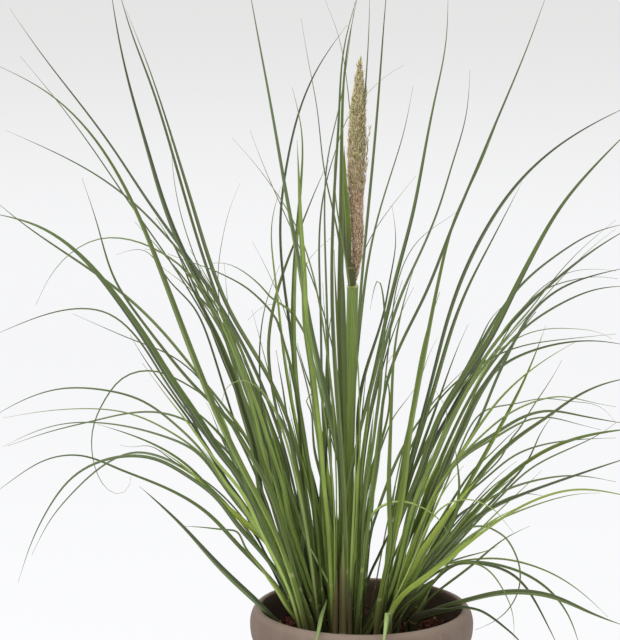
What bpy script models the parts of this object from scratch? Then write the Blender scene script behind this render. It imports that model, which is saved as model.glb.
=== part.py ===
"""Potted ornamental grass clump: a pampas-type tussock with one young plume, in a round planter.

Metres, +Z up. The origin is the middle of the pot's underside, and the pot's front faces -Y.
Every blade stands on the soil inside the pot's mouth and arches outwards from there.
"""

import math

import bmesh
import bpy
import numpy as np
from mathutils import Vector

# ---------------------------------------------------------------- driving dimensions, metres
POT_HEIGHT = 0.270
RIM_RADIUS = 0.150
MOUTH_RADIUS = 0.135
ROLL_HEIGHT = 0.047          # of the broad rolled rim, from its underside to the top
ROLL_BELLY = 0.023           # how far below the top the rolled rim is widest
ROLL_TUCK = 0.007            # how far the rolled rim draws in again towards its underside
INNER_ROUNDING = 0.003       # of the crisp edge of the mouth
BASE_RADIUS = 0.100
WALL = 0.009
FLOOR_THICKNESS = 0.012
EDGE_ROUNDING = 0.006

HEADSPACE = 0.038            # from the rim down to the soil
SOIL_FALL = 0.003            # how much lower the soil lies at the wall than under the clump
CROWN_RADIUS = 0.105         # the flat middle of the soil, where the blades stand

STALK_BASE_RADIUS = 0.0095
STALK_TOP_RADIUS = 0.0072
PLUME_RADIUS = 0.0135

TOUCHING_GAP = 0.0003        # between pieces that touch
ROOT_GAP = 0.0009            # under a blade's slanting foot
BLADE_THICKNESS = 0.0018
BLADE_STEPS = 12
ROUND_STEPS = 40             # sides of the turned pieces

# The clump is nested sheets: a blade's depth grows from its lane at the crown by SPREAD_GAIN
# times at full reach, so two blades in different lanes never meet wherever they cross.
LANE_PITCH = 0.007
SPREAD_GAIN = 5.2
SPREAD_REACH = 330.0         # picture columns or rows from the crown
SPREAD_POWER = 1.5
CROWN_POINT = (350.0, 632.0)

# ---------------------------------------------------------------- the front view
# The courses below are (column, row) points of a front view 620 columns wide and 640 rows
# high, seen from a little above. One column or row is about 1.35 mm at the pot's axis.
VIEW_CENTRE = (310.0, 320.0)
VIEW_FOCAL = 1926.0          # columns per unit of sideways over forwards
VIEW_TILT = math.radians(7.5)
VIEW_EYE = Vector((-0.0693, -2.518, 0.988))

# A blade: name, lane, greatest width, column of its foot, then its course up to the tip.
LEFT_BLADES = (
    ("left_low_spear", -3.5, 0.0080, 292, ((260, 606), (220, 568), (180, 525), (139, 486))),
    ("left_low_arch", -4.5, 0.0055, 309, ((280, 591), (240, 548), (205, 512), (155, 484), (110, 466),
                                          (68, 455), (40, 463), (3, 487), (-15, 500))),
    ("left_drooping", -6.5, 0.0045, 307, ((283, 586), (270, 564.5), (250, 541), (230, 516.5),
                                          (211, 493), (198, 483), (180, 471.5), (160, 461), (115, 458),
                                          (75, 476), (48, 510), (27, 555), (18, 583))),
    ("left_mid_dark", -2.5, 0.0060, 309, ((284, 586), (270, 563.5), (250, 540), (230, 515.5),
                                          (210, 490.5), (190, 469), (170, 454), (130, 435), (97, 424))),
    ("left_wide_arch", -5.5, 0.0045, 305, ((284, 578), (260, 534.5), (240, 506), (220, 479), (208, 460),
                                           (190, 440), (145, 403), (90, 389), (50, 391), (3, 411),
                                           (-20, 425))),
    ("left_flat_arch", 3.5, 0.0040, 312, ((280, 566), (262, 536), (240, 508), (220, 481.5),
                                          (205, 460), (190, 448.5), (155, 434), (95, 423), (50, 427),
                                          (3, 447))),
    ("left_round_arch", 1.5, 0.0040, 314, ((272, 550), (258, 520), (250, 501), (240, 484), (230, 469.5),
                                           (213, 446), (175, 397), (147, 353), (110, 315), (80, 309),
                                           (40, 317), (3, 331), (-15, 339))),
    ("left_far_reach", 5.5, 0.0045, 316, ((280, 520), (240, 430), (200, 378), (150, 319), (100, 277),
                                          (50, 243), (3, 208), (-12, 195))),
    ("left_broad_dark", -7.5, 0.0100, 304, ((279, 563), (270, 547), (258, 515), (246, 489), (229, 467),
                                            (212, 441), (190, 409), (175, 387), (150, 347), (115, 297),
                                            (75, 252), (38, 227), (3, 215), (-15, 212))),
    ("left_upturned", -8.5, 0.0060, 314, ((285, 540), (266, 485), (249, 454), (240, 441), (231, 427),
                                          (222, 413), (212, 404), (200, 393), (150, 333), (110, 270),
                                          (95, 217), (82, 178))),
    ("left_curled_tip", 6.5, 0.0045, 316, ((290, 540), (268, 493), (250, 455), (238, 436), (230, 410),
                                           (221, 380), (211, 350), (201, 320), (180, 292), (160, 270),
                                           (128, 244), (117, 247), (116, 255))),
    ("left_broad_olive", -9.5, 0.0080, 309, ((290, 575), (268, 520), (235, 455), (200, 375), (160, 270),
                                             (120, 180), (90, 134), (40, 88), (-15, 60))),
    ("left_tall_outer", 8.5, 0.0045, 314, ((300, 520), (250, 360), (195, 268), (150, 205), (100, 131),
                                           (50, 66), (10, 9))),
    ("left_tall_low", 9.5, 0.0040, 310, ((280, 480), (215, 300), (160, 230), (120, 192), (75, 163),
                                         (5, 130))),
    ("left_straight_dark", -0.5, 0.0075, 325, ((310, 580), (290, 520), (258, 425), (215, 315), (175, 235),
                                               (150, 160), (125, 70), (112, 0), (108, -30))),
    ("left_tall_middle", 4.5, 0.0060, 316, ((280, 470), (230, 335), (200, 250), (170, 148), (150, 84),
                                            (121, 0), (115, -25))),
    ("left_tall_inner", 7.5, 0.0060, 320, ((303, 480), (272, 385), (228, 308), (200, 231), (170, 133),
                                           (140, 45), (126, 10))),
    ("left_upright_pale", 2.5, 0.0050, 321, ((315, 520), (301, 450), (289, 390), (281, 337), (276, 290),
                                             (274, 208), (281, 186))),
    ("left_yellow_base", 0.5, 0.0080, 306, ((282, 572), (265, 541), (250, 527.5), (230, 510.5),
                                            (214, 496.5), (185, 468), (160, 450))),
)
MIDDLE_BLADES = (
    ("middle_long_arch", 4, 0.0050, 330, ((320, 520), (303, 430), (291, 330), (281, 232), (290, 152),
                                          (312, 80), (347, 25))),
    ("middle_tall_dark", -4, 0.0075, 348, ((345, 510), (342, 480), (337, 450), (331, 422), (324.5, 395),
                                           (317, 360), (308, 320), (301, 280), (288, 210), (275, 135),
                                           (260, 50), (251, 0), (246, -30))),
    ("middle_broad_pale", -6, 0.0085, 332, ((324, 500), (321, 470), (318, 430), (313, 390),
                                            (309.5, 360), (305.5, 330), (303.5, 300), (303, 272),
                                            (300.5, 235), (299, 200), (297, 140))),
    ("middle_dark_left", 2, 0.0075, 334, ((318, 520), (297, 400), (293, 300), (299, 200), (299, 115),
                                          (292, 87))),
    ("middle_swan_neck", 6, 0.0050, 326, ((303, 530), (294, 497), (287, 470), (281.5, 440), (277, 405),
                                          (270.5, 375), (269, 350), (271, 325), (278, 290), (293, 248),
                                          (318, 185), (329, 160))),
    ("middle_wavy", 8, 0.0050, 338, ((332, 520), (324, 420), (321, 300), (324, 195), (336, 150),
                                     (349, 112))),
    ("middle_upright_front", -8, 0.0060, 348, ((346, 520), (342, 450), (335, 350), (333, 260), (336, 180),
                                               (340, 110), (345, 45), (356, 0), (361, -15))),
    ("middle_upright_broad", -3, 0.0080, 352, ((349, 520), (345, 420), (341, 320), (342, 220), (343, 120),
                                               (347, 55), (357, 0))),
    ("middle_upright_right", 3, 0.0055, 354, ((352, 480), (355, 400), (361, 300), (369, 210), (378, 110),
                                              (383, 40), (386, 0), (389, -35))),
    ("middle_lean_right", 5, 0.0045, 356, ((353, 500), (354, 400), (362, 310), (374, 235), (388, 185),
                                           (408, 115), (413, 86))),
    ("middle_short", 1, 0.0050, 358, ((358, 560), (358, 500), (358, 450), (360, 400), (363, 383),
                                      (370, 357), (380, 331), (384, 314), (388, 297), (391.5, 273),
                                      (396, 240), (392, 206))),
    ("middle_hooked", -7, 0.0045, 357, ((362, 540), (365, 490), (370, 460), (374, 430), (378, 400),
                                        (381, 370), (383, 330), (381, 288), (376, 278), (371, 290),
                                        (370, 310))),
    ("middle_reach_front", -2, 0.0050, 352, ((350, 490), (354, 465), (358, 445), (363, 420), (369, 394),
                                             (373, 380), (378, 358), (383, 338), (387, 315), (391, 297),
                                             (397, 275), (415, 205), (430, 125), (445, 50), (449, 0),
                                             (448, -15))),
    ("middle_reach_back", 7, 0.0050, 356, ((360, 510), (365, 450), (380, 370), (400, 300), (432, 228),
                                           (457, 150), (470, 90), (470, 70))),
    ("middle_reach_far", -9, 0.0050, 356, ((368, 530), (373, 498), (377, 470), (381, 440), (383.5, 405),
                                           (388, 382), (394, 362), (403, 342), (425, 297), (455, 222),
                                           (482, 158), (508, 95), (535, 28), (551, -18))),
)
RIGHT_BLADES = (
    ("right_olive", -7.5, 0.0075, 378, ((384, 590), (389.5, 562), (396.5, 530), (402.5, 500), (408, 450),
                                        (423, 365), (441, 275), (460, 208), (485, 155), (498, 120))),
    ("right_broad_olive", -9.5, 0.0075, 376, ((380, 605), (386.5, 570), (391, 545), (390.5, 510),
                                              (392, 420), (400, 320), (416, 262))),
    ("right_tall_outer", 3.5, 0.0050, 385, ((387, 575), (391, 558), (394.5, 540), (404, 490), (430, 390),
                                            (455, 298), (482, 237), (525, 176), (580, 132), (640, 101))),
    ("right_tall_inner", 5.5, 0.0060, 388, ((388, 575), (392, 558), (395, 541), (405, 490), (434, 390),
                                            (463, 300), (490, 245), (522, 182))),
    ("right_long_dark", -6.5, 0.0075, 384, ((388, 575), (394, 540), (401, 520), (408.5, 500), (417, 480),
                                            (428, 452), (447, 402), (479, 359), (499, 320), (515, 292),
                                            (550, 225), (585, 178), (640, 120))),
    ("right_long_back", 4.5, 0.0050, 392, ((400, 560), (405, 540), (410, 520), (417, 496), (440, 420),
                                           (475, 355), (515, 293), (570, 247), (605, 229),
                                           (635, 222))),
    ("right_long_front", -4.5, 0.0060, 388, ((396.5, 570), (404.5, 540), (414.5, 510), (425, 477),
                                             (436, 455), (478, 370), (525, 310), (565, 273), (616, 236),
                                             (640, 222))),
    ("right_long_thin", 0.5, 0.0050, 393, ((402, 590), (418, 548), (435, 503), (447, 475), (458, 458),
                                           (471, 440), (488, 400), (502, 370), (512, 348), (545, 300),
                                           (590, 277), (635, 266))),
    ("right_arch_upper", 1.5, 0.0050, 395, ((404, 577), (411, 560), (416.5, 540), (426, 505), (470, 400),
                                            (520, 333), (560, 305), (600, 289), (636, 286))),
    ("right_arch_lower", 2.5, 0.0040, 398, ((405, 577), (412, 559), (418, 538), (428, 505), (455, 440),
                                            (500, 368), (555, 345), (590, 341), (638, 348))),
    ("right_upright_olive", 6.5, 0.0060, 393, ((408, 598), (430, 558), (455, 510), (495, 437),
                                               (530, 368), (546, 325))),
    ("right_spread_dark", -3.5, 0.0060, 394, ((402, 600), (416, 578), (428, 558), (441, 536), (470, 490),
                                              (508, 446), (550, 416), (590, 390), (640, 376))),
    ("right_spread_thin", 7.5, 0.0045, 397, ((408, 570), (420, 535), (455, 462), (495, 434), (540, 412),
                                             (580, 416), (634, 425))),
    ("right_spread_olive", -2.5, 0.0080, 396, ((405, 594), (440, 551), (470, 519), (510, 477), (550, 450),
                                               (590, 436), (640, 428))),
    ("right_low_dark", -5.5, 0.0050, 396, ((410, 592), (440, 556), (480, 516), (520, 496), (570, 478),
                                           (640, 454))),
    ("right_low_pale", -8.5, 0.0080, 388, ((393, 611), (426, 578), (464, 548), (495, 524), (545, 497),
                                           (580, 490), (634, 498))),
    ("right_drooping_back", 8.5, 0.0045, 394, ((410, 597), (425, 582), (440, 571.5), (453, 566),
                                               (468, 564), (487, 565.5), (515, 577), (540, 611),
                                               (562, 655))),
    ("right_drooping_front", -0.5, 0.0045, 407, ((413, 616), (430, 588), (455, 566), (495, 565),
                                                 (535, 580), (563, 607), (582, 655))),
    ("right_over_rim", -1.5, 0.0080, 412, ((428, 614), (440, 609), (455, 604.5), (470, 600.5),
                                           (490, 595.5), (520, 592.5), (555, 598), (592, 614),
                                           (628, 627))),
    ("right_bent", 9.5, 0.0040, 362, ((368, 545), (380, 505), (401, 452), (440, 395), (472, 362))),
)
# This short blade is folded over the front of the rim, so each point carries its depth as well.
FOLDED_BLADE_WIDTH = 0.0072
FOLDED_BLADE = ((388.6, 628, -0.091), (388.3, 618, -0.108), (388, 614.5, -0.124), (387.3, 620, -0.139),
                (386, 631, -0.150), (384, 645, -0.1545), (381.5, 664, -0.155))
FOLDED_BLADE_FOOT = (389, -0.080)

STALK_FOOT_COLUMN = 341
STALK_COURSE = ((343, 560), (347, 480), (350, 400), (353, 282))
# The leaf at the stalk's collar lies in front of the plume's left side
FLAG_LEAF_WIDTH = 0.0112
FLAG_LEAF = ((350, 286, -0.0092), (347.5, 265, -0.0105), (346, 240, -0.0120), (345, 212, -0.0130),
             (343.5, 185, -0.0130), (344, 146, -0.0110))
PLUME_COURSE = ((353.5, 281.4), (356.5, 260), (356.5, 215), (356, 170), (357.5, 120), (359, 85),
                (360, 60))
# The plume's half width along its course, as a share of PLUME_RADIUS
PLUME_OUTLINE = (0.24, 0.52, 0.64, 0.82, 0.85, 0.56, 0.06)

LEAF_COLOUR = (0.075, 0.135, 0.035, 1.0)
OLIVE_COLOUR = (0.170, 0.200, 0.050, 1.0)
PALE_COLOUR = (0.260, 0.380, 0.100, 1.0)


def make_material(name, colour, roughness, metallic=0.0):
    """A plain Principled material."""
    material = bpy.data.materials.new(name)
    material.use_nodes = True
    surface = material.node_tree.nodes["Principled BSDF"]
    surface.inputs["Base Color"].default_value = colour
    surface.inputs["Roughness"].default_value = roughness
    surface.inputs["Metallic"].default_value = metallic
    material.diffuse_color = colour
    return material


def add_part(name, data, material, collection):
    """Put one named sub-part, with its own material, in the object's collection."""
    part = bpy.data.objects.new(name, data)
    data.materials.append(material)
    collection.objects.link(part)
    return part


# ---------------------------------------------------------------- the front view as geometry
def sight_ray(column, row):
    """The direction in which a point of the front view is seen."""
    across = (column - VIEW_CENTRE[0]) / VIEW_FOCAL
    above = (VIEW_CENTRE[1] - row) / VIEW_FOCAL
    forwards = math.cos(VIEW_TILT) + above * math.sin(VIEW_TILT)
    upwards = above * math.cos(VIEW_TILT) - math.sin(VIEW_TILT)
    return Vector((across, forwards, upwards))


def sight(column, row, depth):
    """The point at depth y = depth that shows at this column and row."""
    ray = sight_ray(column, row)
    return VIEW_EYE + ray * ((depth - VIEW_EYE.y) / ray.y)


def foot_point(column, depth):
    """The point just above the soil at this depth that shows in this column."""
    height = POT_HEIGHT - HEADSPACE + ROOT_GAP
    away = depth - VIEW_EYE.y
    forwards = away * math.cos(VIEW_TILT) + (VIEW_EYE.z - height) * math.sin(VIEW_TILT)
    return Vector((VIEW_EYE.x + forwards * (column - VIEW_CENTRE[0]) / VIEW_FOCAL, depth, height))


def lane_depth(lane, column, row):
    """Depth of a blade's sheet at a point of the front view."""
    reach = math.hypot(column - CROWN_POINT[0], row - CROWN_POINT[1]) / SPREAD_REACH
    gain = 1.0 + SPREAD_GAIN * (1.0 - math.exp(-reach ** SPREAD_POWER))
    return lane * LANE_PITCH * gain


def smooth_course(points, count):
    """Read a natural cubic spline through the points at count even steps of its length."""
    knots = np.array([tuple(point) for point in points])
    chords = np.linalg.norm(np.diff(knots, axis=0), axis=1)
    times = np.concatenate([[0.0], np.cumsum(chords)])
    # Second derivatives at the knots: zero at both ends, continuous slope in between
    size = len(knots)
    system = np.eye(size)
    bends = np.zeros_like(knots)
    for i in range(1, size - 1):
        system[i, i - 1] = chords[i - 1]
        system[i, i] = 2.0 * (chords[i - 1] + chords[i])
        system[i, i + 1] = chords[i]
        bends[i] = 6.0 * ((knots[i + 1] - knots[i]) / chords[i]
                          - (knots[i] - knots[i - 1]) / chords[i - 1])
    bends = np.linalg.solve(system, bends)

    fine = np.linspace(0.0, times[-1], 40 * size)
    span = np.clip(np.searchsorted(times, fine, side="right") - 1, 0, size - 2)
    length = chords[span][:, None]
    after = (fine - times[span])[:, None] / length
    before = 1.0 - after
    curve = (before * knots[span] + after * knots[span + 1]
             + length ** 2 / 6.0 * ((before ** 3 - before) * bends[span]
                                    + (after ** 3 - after) * bends[span + 1]))
    travel = np.concatenate([[0.0], np.cumsum(np.linalg.norm(np.diff(curve, axis=0), axis=1))])
    even = np.linspace(0.0, travel[-1], count)
    return np.stack([np.interp(even, travel, curve[:, axis]) for axis in range(3)], axis=1)


# ---------------------------------------------------------------- turned pieces
def arc(centre_radius, centre_height, reach, rise, start, end, steps):
    """Points of an upright ellipse's arc in the profile plane, from one angle in degrees to another."""
    angles = [math.radians(start + (end - start) * i / steps) for i in range(steps + 1)]
    return [(centre_radius + reach * math.cos(a), centre_height + rise * math.sin(a)) for a in angles]


def turn_profile(name, profile, material, collection):
    """Turn a profile, given as (radius, height) points from the axis round to the axis."""
    mesh = bpy.data.meshes.new(name)
    corners = [(radius, 0.0, height) for radius, height in profile]
    mesh.from_pydata(corners, [(i, i + 1) for i in range(len(corners) - 1)], [])
    part = add_part(name, mesh, material, collection)
    screw = part.modifiers.new("Turn", "SCREW")
    screw.steps = ROUND_STEPS
    screw.render_steps = ROUND_STEPS
    screw.use_merge_vertices = True
    screw.merge_threshold = 0.00002
    screw.use_smooth_shade = True
    return part


def inner_radius(height):
    """Radius of the pot's hollow: straight inside the rolled rim, tapering with the body below."""
    roll_foot = POT_HEIGHT - ROLL_HEIGHT
    if height >= roll_foot:
        return MOUTH_RADIUS
    body_foot = BASE_RADIUS - WALL
    share = (height - FLOOR_THICKNESS) / (roll_foot - FLOOR_THICKNESS)
    return body_foot + (MOUTH_RADIUS - body_foot) * share


def make_pot(material, collection):
    """The planter: flat base, tapering body, and a broad rolled rim with a crisp inner edge."""
    roll_foot = POT_HEIGHT - ROLL_HEIGHT
    crest_radius = MOUTH_RADIUS + INNER_ROUNDING
    belly_height = POT_HEIGHT - ROLL_BELLY
    tuck_radius = RIM_RADIUS - ROLL_TUCK
    body_top = (tuck_radius - 0.0015, roll_foot - 0.0005)
    edge = INNER_ROUNDING
    rounding = EDGE_ROUNDING

    profile = [(0.0, FLOOR_THICKNESS), (inner_radius(FLOOR_THICKNESS), FLOOR_THICKNESS)]
    profile += [(MOUTH_RADIUS, roll_foot)]
    profile += arc(crest_radius, POT_HEIGHT - edge, edge, edge, 180.0, 90.0, 3)
    profile += arc(crest_radius, belly_height, RIM_RADIUS - crest_radius, ROLL_BELLY, 90.0, 0.0, 7)[1:]
    profile += arc(tuck_radius, belly_height, ROLL_TUCK, belly_height - roll_foot, 0.0, -90.0, 5)[1:]
    profile += [body_top]
    profile += arc(BASE_RADIUS - rounding, rounding, rounding, rounding, 0.0, -90.0, 3)
    profile += [(0.0, 0.0)]
    return turn_profile("pot", profile, material, collection)


def make_soil(material, collection):
    """The potting soil: it fills the pot, level under the clump and a little lower at the wall."""
    top = POT_HEIGHT - HEADSPACE
    floor = FLOOR_THICKNESS + TOUCHING_GAP
    roll_foot = POT_HEIGHT - ROLL_HEIGHT
    profile = [(0.0, top), (CROWN_RADIUS, top),
               (MOUTH_RADIUS - TOUCHING_GAP, top - SOIL_FALL),
               (MOUTH_RADIUS - TOUCHING_GAP, roll_foot),
               (inner_radius(FLOOR_THICKNESS) - TOUCHING_GAP, floor), (0.0, floor)]
    return turn_profile("soil", profile, material, collection)


# ---------------------------------------------------------------- the plant
def blade_width_at(share):
    """A blade's width along its length, as a share of its greatest width."""
    sheath = 0.62 + 0.38 * min(1.0, share / 0.30)
    taper = 1.0 - max(0.0, (share - 0.30) / 0.70) ** 2.2
    return max(0.14, sheath * taper)


def make_blade(name, course, width, material, collection):
    """One leaf, sheath and blade together: a strip laid along its course and thickened.

    The strip starts as a flat grid whose x runs along the leaf and whose y runs across it.
    """
    steps = len(course) - 1
    strip = bmesh.new()
    bmesh.ops.create_grid(strip, x_segments=steps, y_segments=1, size=1.0)
    ahead = np.gradient(course, axis=0)
    sight_lines = course - np.array(VIEW_EYE)
    across = np.cross(ahead, sight_lines)
    across /= np.linalg.norm(across, axis=1)[:, None]
    across[0] = (math.copysign(1.0, across[0][0]), 0.0, 0.0)
    for corner in strip.verts:
        step = round((corner.co.x + 1.0) / 2.0 * steps)
        half = width / 2.0 * blade_width_at(step / steps)
        corner.co = Vector(course[step] + across[step] * half * corner.co.y)
    mesh = bpy.data.meshes.new(name)
    strip.to_mesh(mesh)
    strip.free()
    blade = add_part(name, mesh, material, collection)
    thickness = blade.modifiers.new("Thickness", "SOLIDIFY")
    thickness.thickness = BLADE_THICKNESS
    thickness.offset = 0.0
    return blade


def make_blades(materials, collection):
    """Every blade of the three groups, and the one that is folded over the rim."""
    for blades in (LEFT_BLADES, MIDDLE_BLADES, RIGHT_BLADES):
        for name, lane, width, foot_column, course in blades:
            points = [foot_point(foot_column, lane_depth(lane, foot_column, CROWN_POINT[1]))]
            points += [sight(column, row, lane_depth(lane, column, row)) for column, row in course]
            material = materials["leaf"]
            if "olive" in name or "yellow" in name:
                material = materials["olive"]
            if "pale" in name:
                material = materials["pale"]
            make_blade(name, smooth_course(points, BLADE_STEPS + 1), width, material, collection)

    points = [foot_point(*FOLDED_BLADE_FOOT)]
    points += [sight(column, row, depth) for column, row, depth in FOLDED_BLADE]
    make_blade("front_folded_pale", smooth_course(points, BLADE_STEPS + 1), FOLDED_BLADE_WIDTH,
               materials["pale"], collection)


def make_rod(name, points, radii, sides_resolution, material, collection):
    """A round stem or plume: a curve with a bevel whose thickness changes along it."""
    curve = bpy.data.curves.new(name, "CURVE")
    curve.dimensions = "3D"
    curve.bevel_depth = 1.0
    curve.bevel_resolution = sides_resolution
    curve.use_fill_caps = True
    line = curve.splines.new("POLY")
    line.points.add(len(points) - 1)
    for knot, point, radius in zip(line.points, points, radii):
        knot.co = (point[0], point[1], point[2], 1.0)
        knot.radius = radius
    return add_part(name, curve, material, collection)


def make_flower(materials, collection):
    """The flowering stalk in its sheath, the young plume on it, and the leaf at its collar."""
    points = [foot_point(STALK_FOOT_COLUMN, 0.0)]
    points += [sight(column, row, 0.0) for column, row in STALK_COURSE]
    course = smooth_course(points, 9)
    radii = np.linspace(STALK_BASE_RADIUS, STALK_TOP_RADIUS, 9)
    make_rod("flower_stalk", course, radii, 3, materials["olive"], collection)

    points = [sight(column, row, 0.0) for column, row in PLUME_COURSE]
    course = smooth_course(points, 15)
    along = np.linspace(0.0, 1.0, 15)
    outline = np.interp(along, np.linspace(0.0, 1.0, len(PLUME_OUTLINE)), PLUME_OUTLINE)
    make_rod("plume", course, outline * PLUME_RADIUS, 4, materials["plume"], collection)

    points = [sight(column, row, depth) for column, row, depth in FLAG_LEAF]
    make_blade("flag_leaf", smooth_course(points, BLADE_STEPS // 2 + 1), FLAG_LEAF_WIDTH,
               materials["leaf"], collection)


def main():
    """Build the whole object in one collection."""
    for old in list(bpy.data.objects):
        bpy.data.objects.remove(old, do_unlink=True)
    collection = bpy.data.collections.new("potted_grass_clump")
    bpy.context.scene.collection.children.link(collection)
    materials = {
        "pot": make_material("planter_taupe", (0.300, 0.220, 0.180, 1.0), 0.62),
        "soil": make_material("soil_brown", (0.060, 0.032, 0.022, 1.0), 0.95),
        "leaf": make_material("leaf_green", LEAF_COLOUR, 0.45),
        "olive": make_material("leaf_olive", OLIVE_COLOUR, 0.45),
        "pale": make_material("leaf_pale", PALE_COLOUR, 0.45),
        "plume": make_material("plume_tan", (0.400, 0.290, 0.190, 1.0), 0.90),
    }
    make_pot(materials["pot"], collection)
    make_soil(materials["soil"], collection)
    make_blades(materials, collection)
    make_flower(materials, collection)


main()
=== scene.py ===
# %% [markdown]
# A potted clump of pampas-type grass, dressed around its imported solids.
# The solids give every blade's course, the pot and the soil at their real size. This script
# gives them their looks: thin veined leaves, a hairy plume, gritty soil and a matt planter.

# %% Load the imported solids
import math

import bpy
import numpy as np
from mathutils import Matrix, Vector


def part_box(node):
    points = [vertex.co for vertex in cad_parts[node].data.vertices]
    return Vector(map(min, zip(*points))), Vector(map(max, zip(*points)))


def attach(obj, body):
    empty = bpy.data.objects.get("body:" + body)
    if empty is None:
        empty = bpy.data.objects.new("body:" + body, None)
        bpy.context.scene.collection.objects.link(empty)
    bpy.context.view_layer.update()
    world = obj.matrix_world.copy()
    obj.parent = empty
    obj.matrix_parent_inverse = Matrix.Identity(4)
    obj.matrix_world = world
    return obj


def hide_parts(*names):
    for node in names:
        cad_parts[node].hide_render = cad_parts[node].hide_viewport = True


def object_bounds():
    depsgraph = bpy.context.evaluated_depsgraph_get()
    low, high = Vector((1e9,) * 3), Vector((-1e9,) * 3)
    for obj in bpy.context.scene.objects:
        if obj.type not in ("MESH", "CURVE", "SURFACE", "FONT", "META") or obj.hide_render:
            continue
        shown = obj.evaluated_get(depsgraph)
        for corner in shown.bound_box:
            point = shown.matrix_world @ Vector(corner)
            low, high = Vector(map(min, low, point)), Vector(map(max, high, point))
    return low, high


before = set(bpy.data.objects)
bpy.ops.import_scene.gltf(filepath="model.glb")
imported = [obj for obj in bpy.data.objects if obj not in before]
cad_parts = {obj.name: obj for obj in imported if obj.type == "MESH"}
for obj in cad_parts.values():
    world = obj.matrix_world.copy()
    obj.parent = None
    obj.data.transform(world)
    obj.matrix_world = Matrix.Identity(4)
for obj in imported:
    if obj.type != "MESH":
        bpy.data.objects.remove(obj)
SOLID_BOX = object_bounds()
print("the solids measure", [round(high - low, 3) for low, high in zip(*SOLID_BOX)], "m")

# %% [markdown]
# The camera comes first, because every blade's course was read off a front view of the clump.
# A long lens keeps the far and near blades nearly the same size. It stands 2.5 m away, looks
# down a little, and sees 620 columns by 640 rows. Depth runs along +Y, away from the viewer.

# %% The front view
VIEW_COLUMNS, VIEW_ROWS = 620, 640
VIEW_FOCAL = 1926.0
VIEW_TILT = math.radians(7.5)
VIEW_EYE = np.array([-0.0693, -2.518, 0.988])
SENSOR = 36.0

lens = bpy.data.cameras.new("front_view")
lens.sensor_width = SENSOR
lens.lens = VIEW_FOCAL * SENSOR / VIEW_ROWS
lens.clip_end = 50.0


def put_in_scene(name, data):
    """A new object at the origin that shows this mesh, lamp or lens."""
    made = bpy.data.objects.new(name, data)
    bpy.context.scene.collection.objects.link(made)
    return made


camera = put_in_scene("front_view", lens)
camera.location = VIEW_EYE
camera.rotation_euler = (math.pi / 2 - VIEW_TILT, 0.0, 0.0)
bpy.context.scene.camera = camera
print("lens", round(lens.lens, 1), "mm")


def sight(columns, rows, depths):
    """Points that show at these columns and rows: the view ray is followed to y = depth."""
    columns, rows, depths = (np.asarray(values, float) for values in (columns, rows, depths))
    across = (columns - VIEW_COLUMNS / 2) / VIEW_FOCAL
    above = (VIEW_ROWS / 2 - rows) / VIEW_FOCAL
    forwards = math.cos(VIEW_TILT) + above * math.sin(VIEW_TILT)
    upwards = above * math.cos(VIEW_TILT) - math.sin(VIEW_TILT)
    away = (depths - VIEW_EYE[1]) / forwards
    return np.stack([VIEW_EYE[0] + across * away, depths, VIEW_EYE[2] + upwards * away], axis=-1)


# %% [markdown]
# ## Shader maths as sums
# A node tree is easier to read as a formula. `Wire` wraps one output socket, and its operators
# add the Math node that does the sum. `Finish` wraps a material and adds any other node.

# %% Wires
class Wire:
    """An output socket that takes part in sums as a number does."""

    def __init__(self, finish, socket):
        self.finish = finish
        self.socket = socket

    def maths(self, operation, *values):
        return self.finish.node("ShaderNodeMath", {"operation": operation}, dict(enumerate(values)))

    def __add__(self, other):
        return self.maths("ADD", self, other)

    def __sub__(self, other):
        return self.maths("SUBTRACT", self, other)

    def __rsub__(self, other):
        return self.maths("SUBTRACT", other, self)

    def __mul__(self, other):
        return self.maths("MULTIPLY", self, other)

    __radd__ = __add__
    __rmul__ = __mul__

    def size(self):
        """The value without its sign."""
        return self.maths("ABSOLUTE", self)

    def ramp(self, start, end):
        """0 up to start, 1 from end on, and a smooth rise between them."""
        settings = {"interpolation_type": "SMOOTHSTEP"}
        return self.finish.node("ShaderNodeMapRange", settings,
                                {"Value": self, "From Min": start, "From Max": end})


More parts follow.
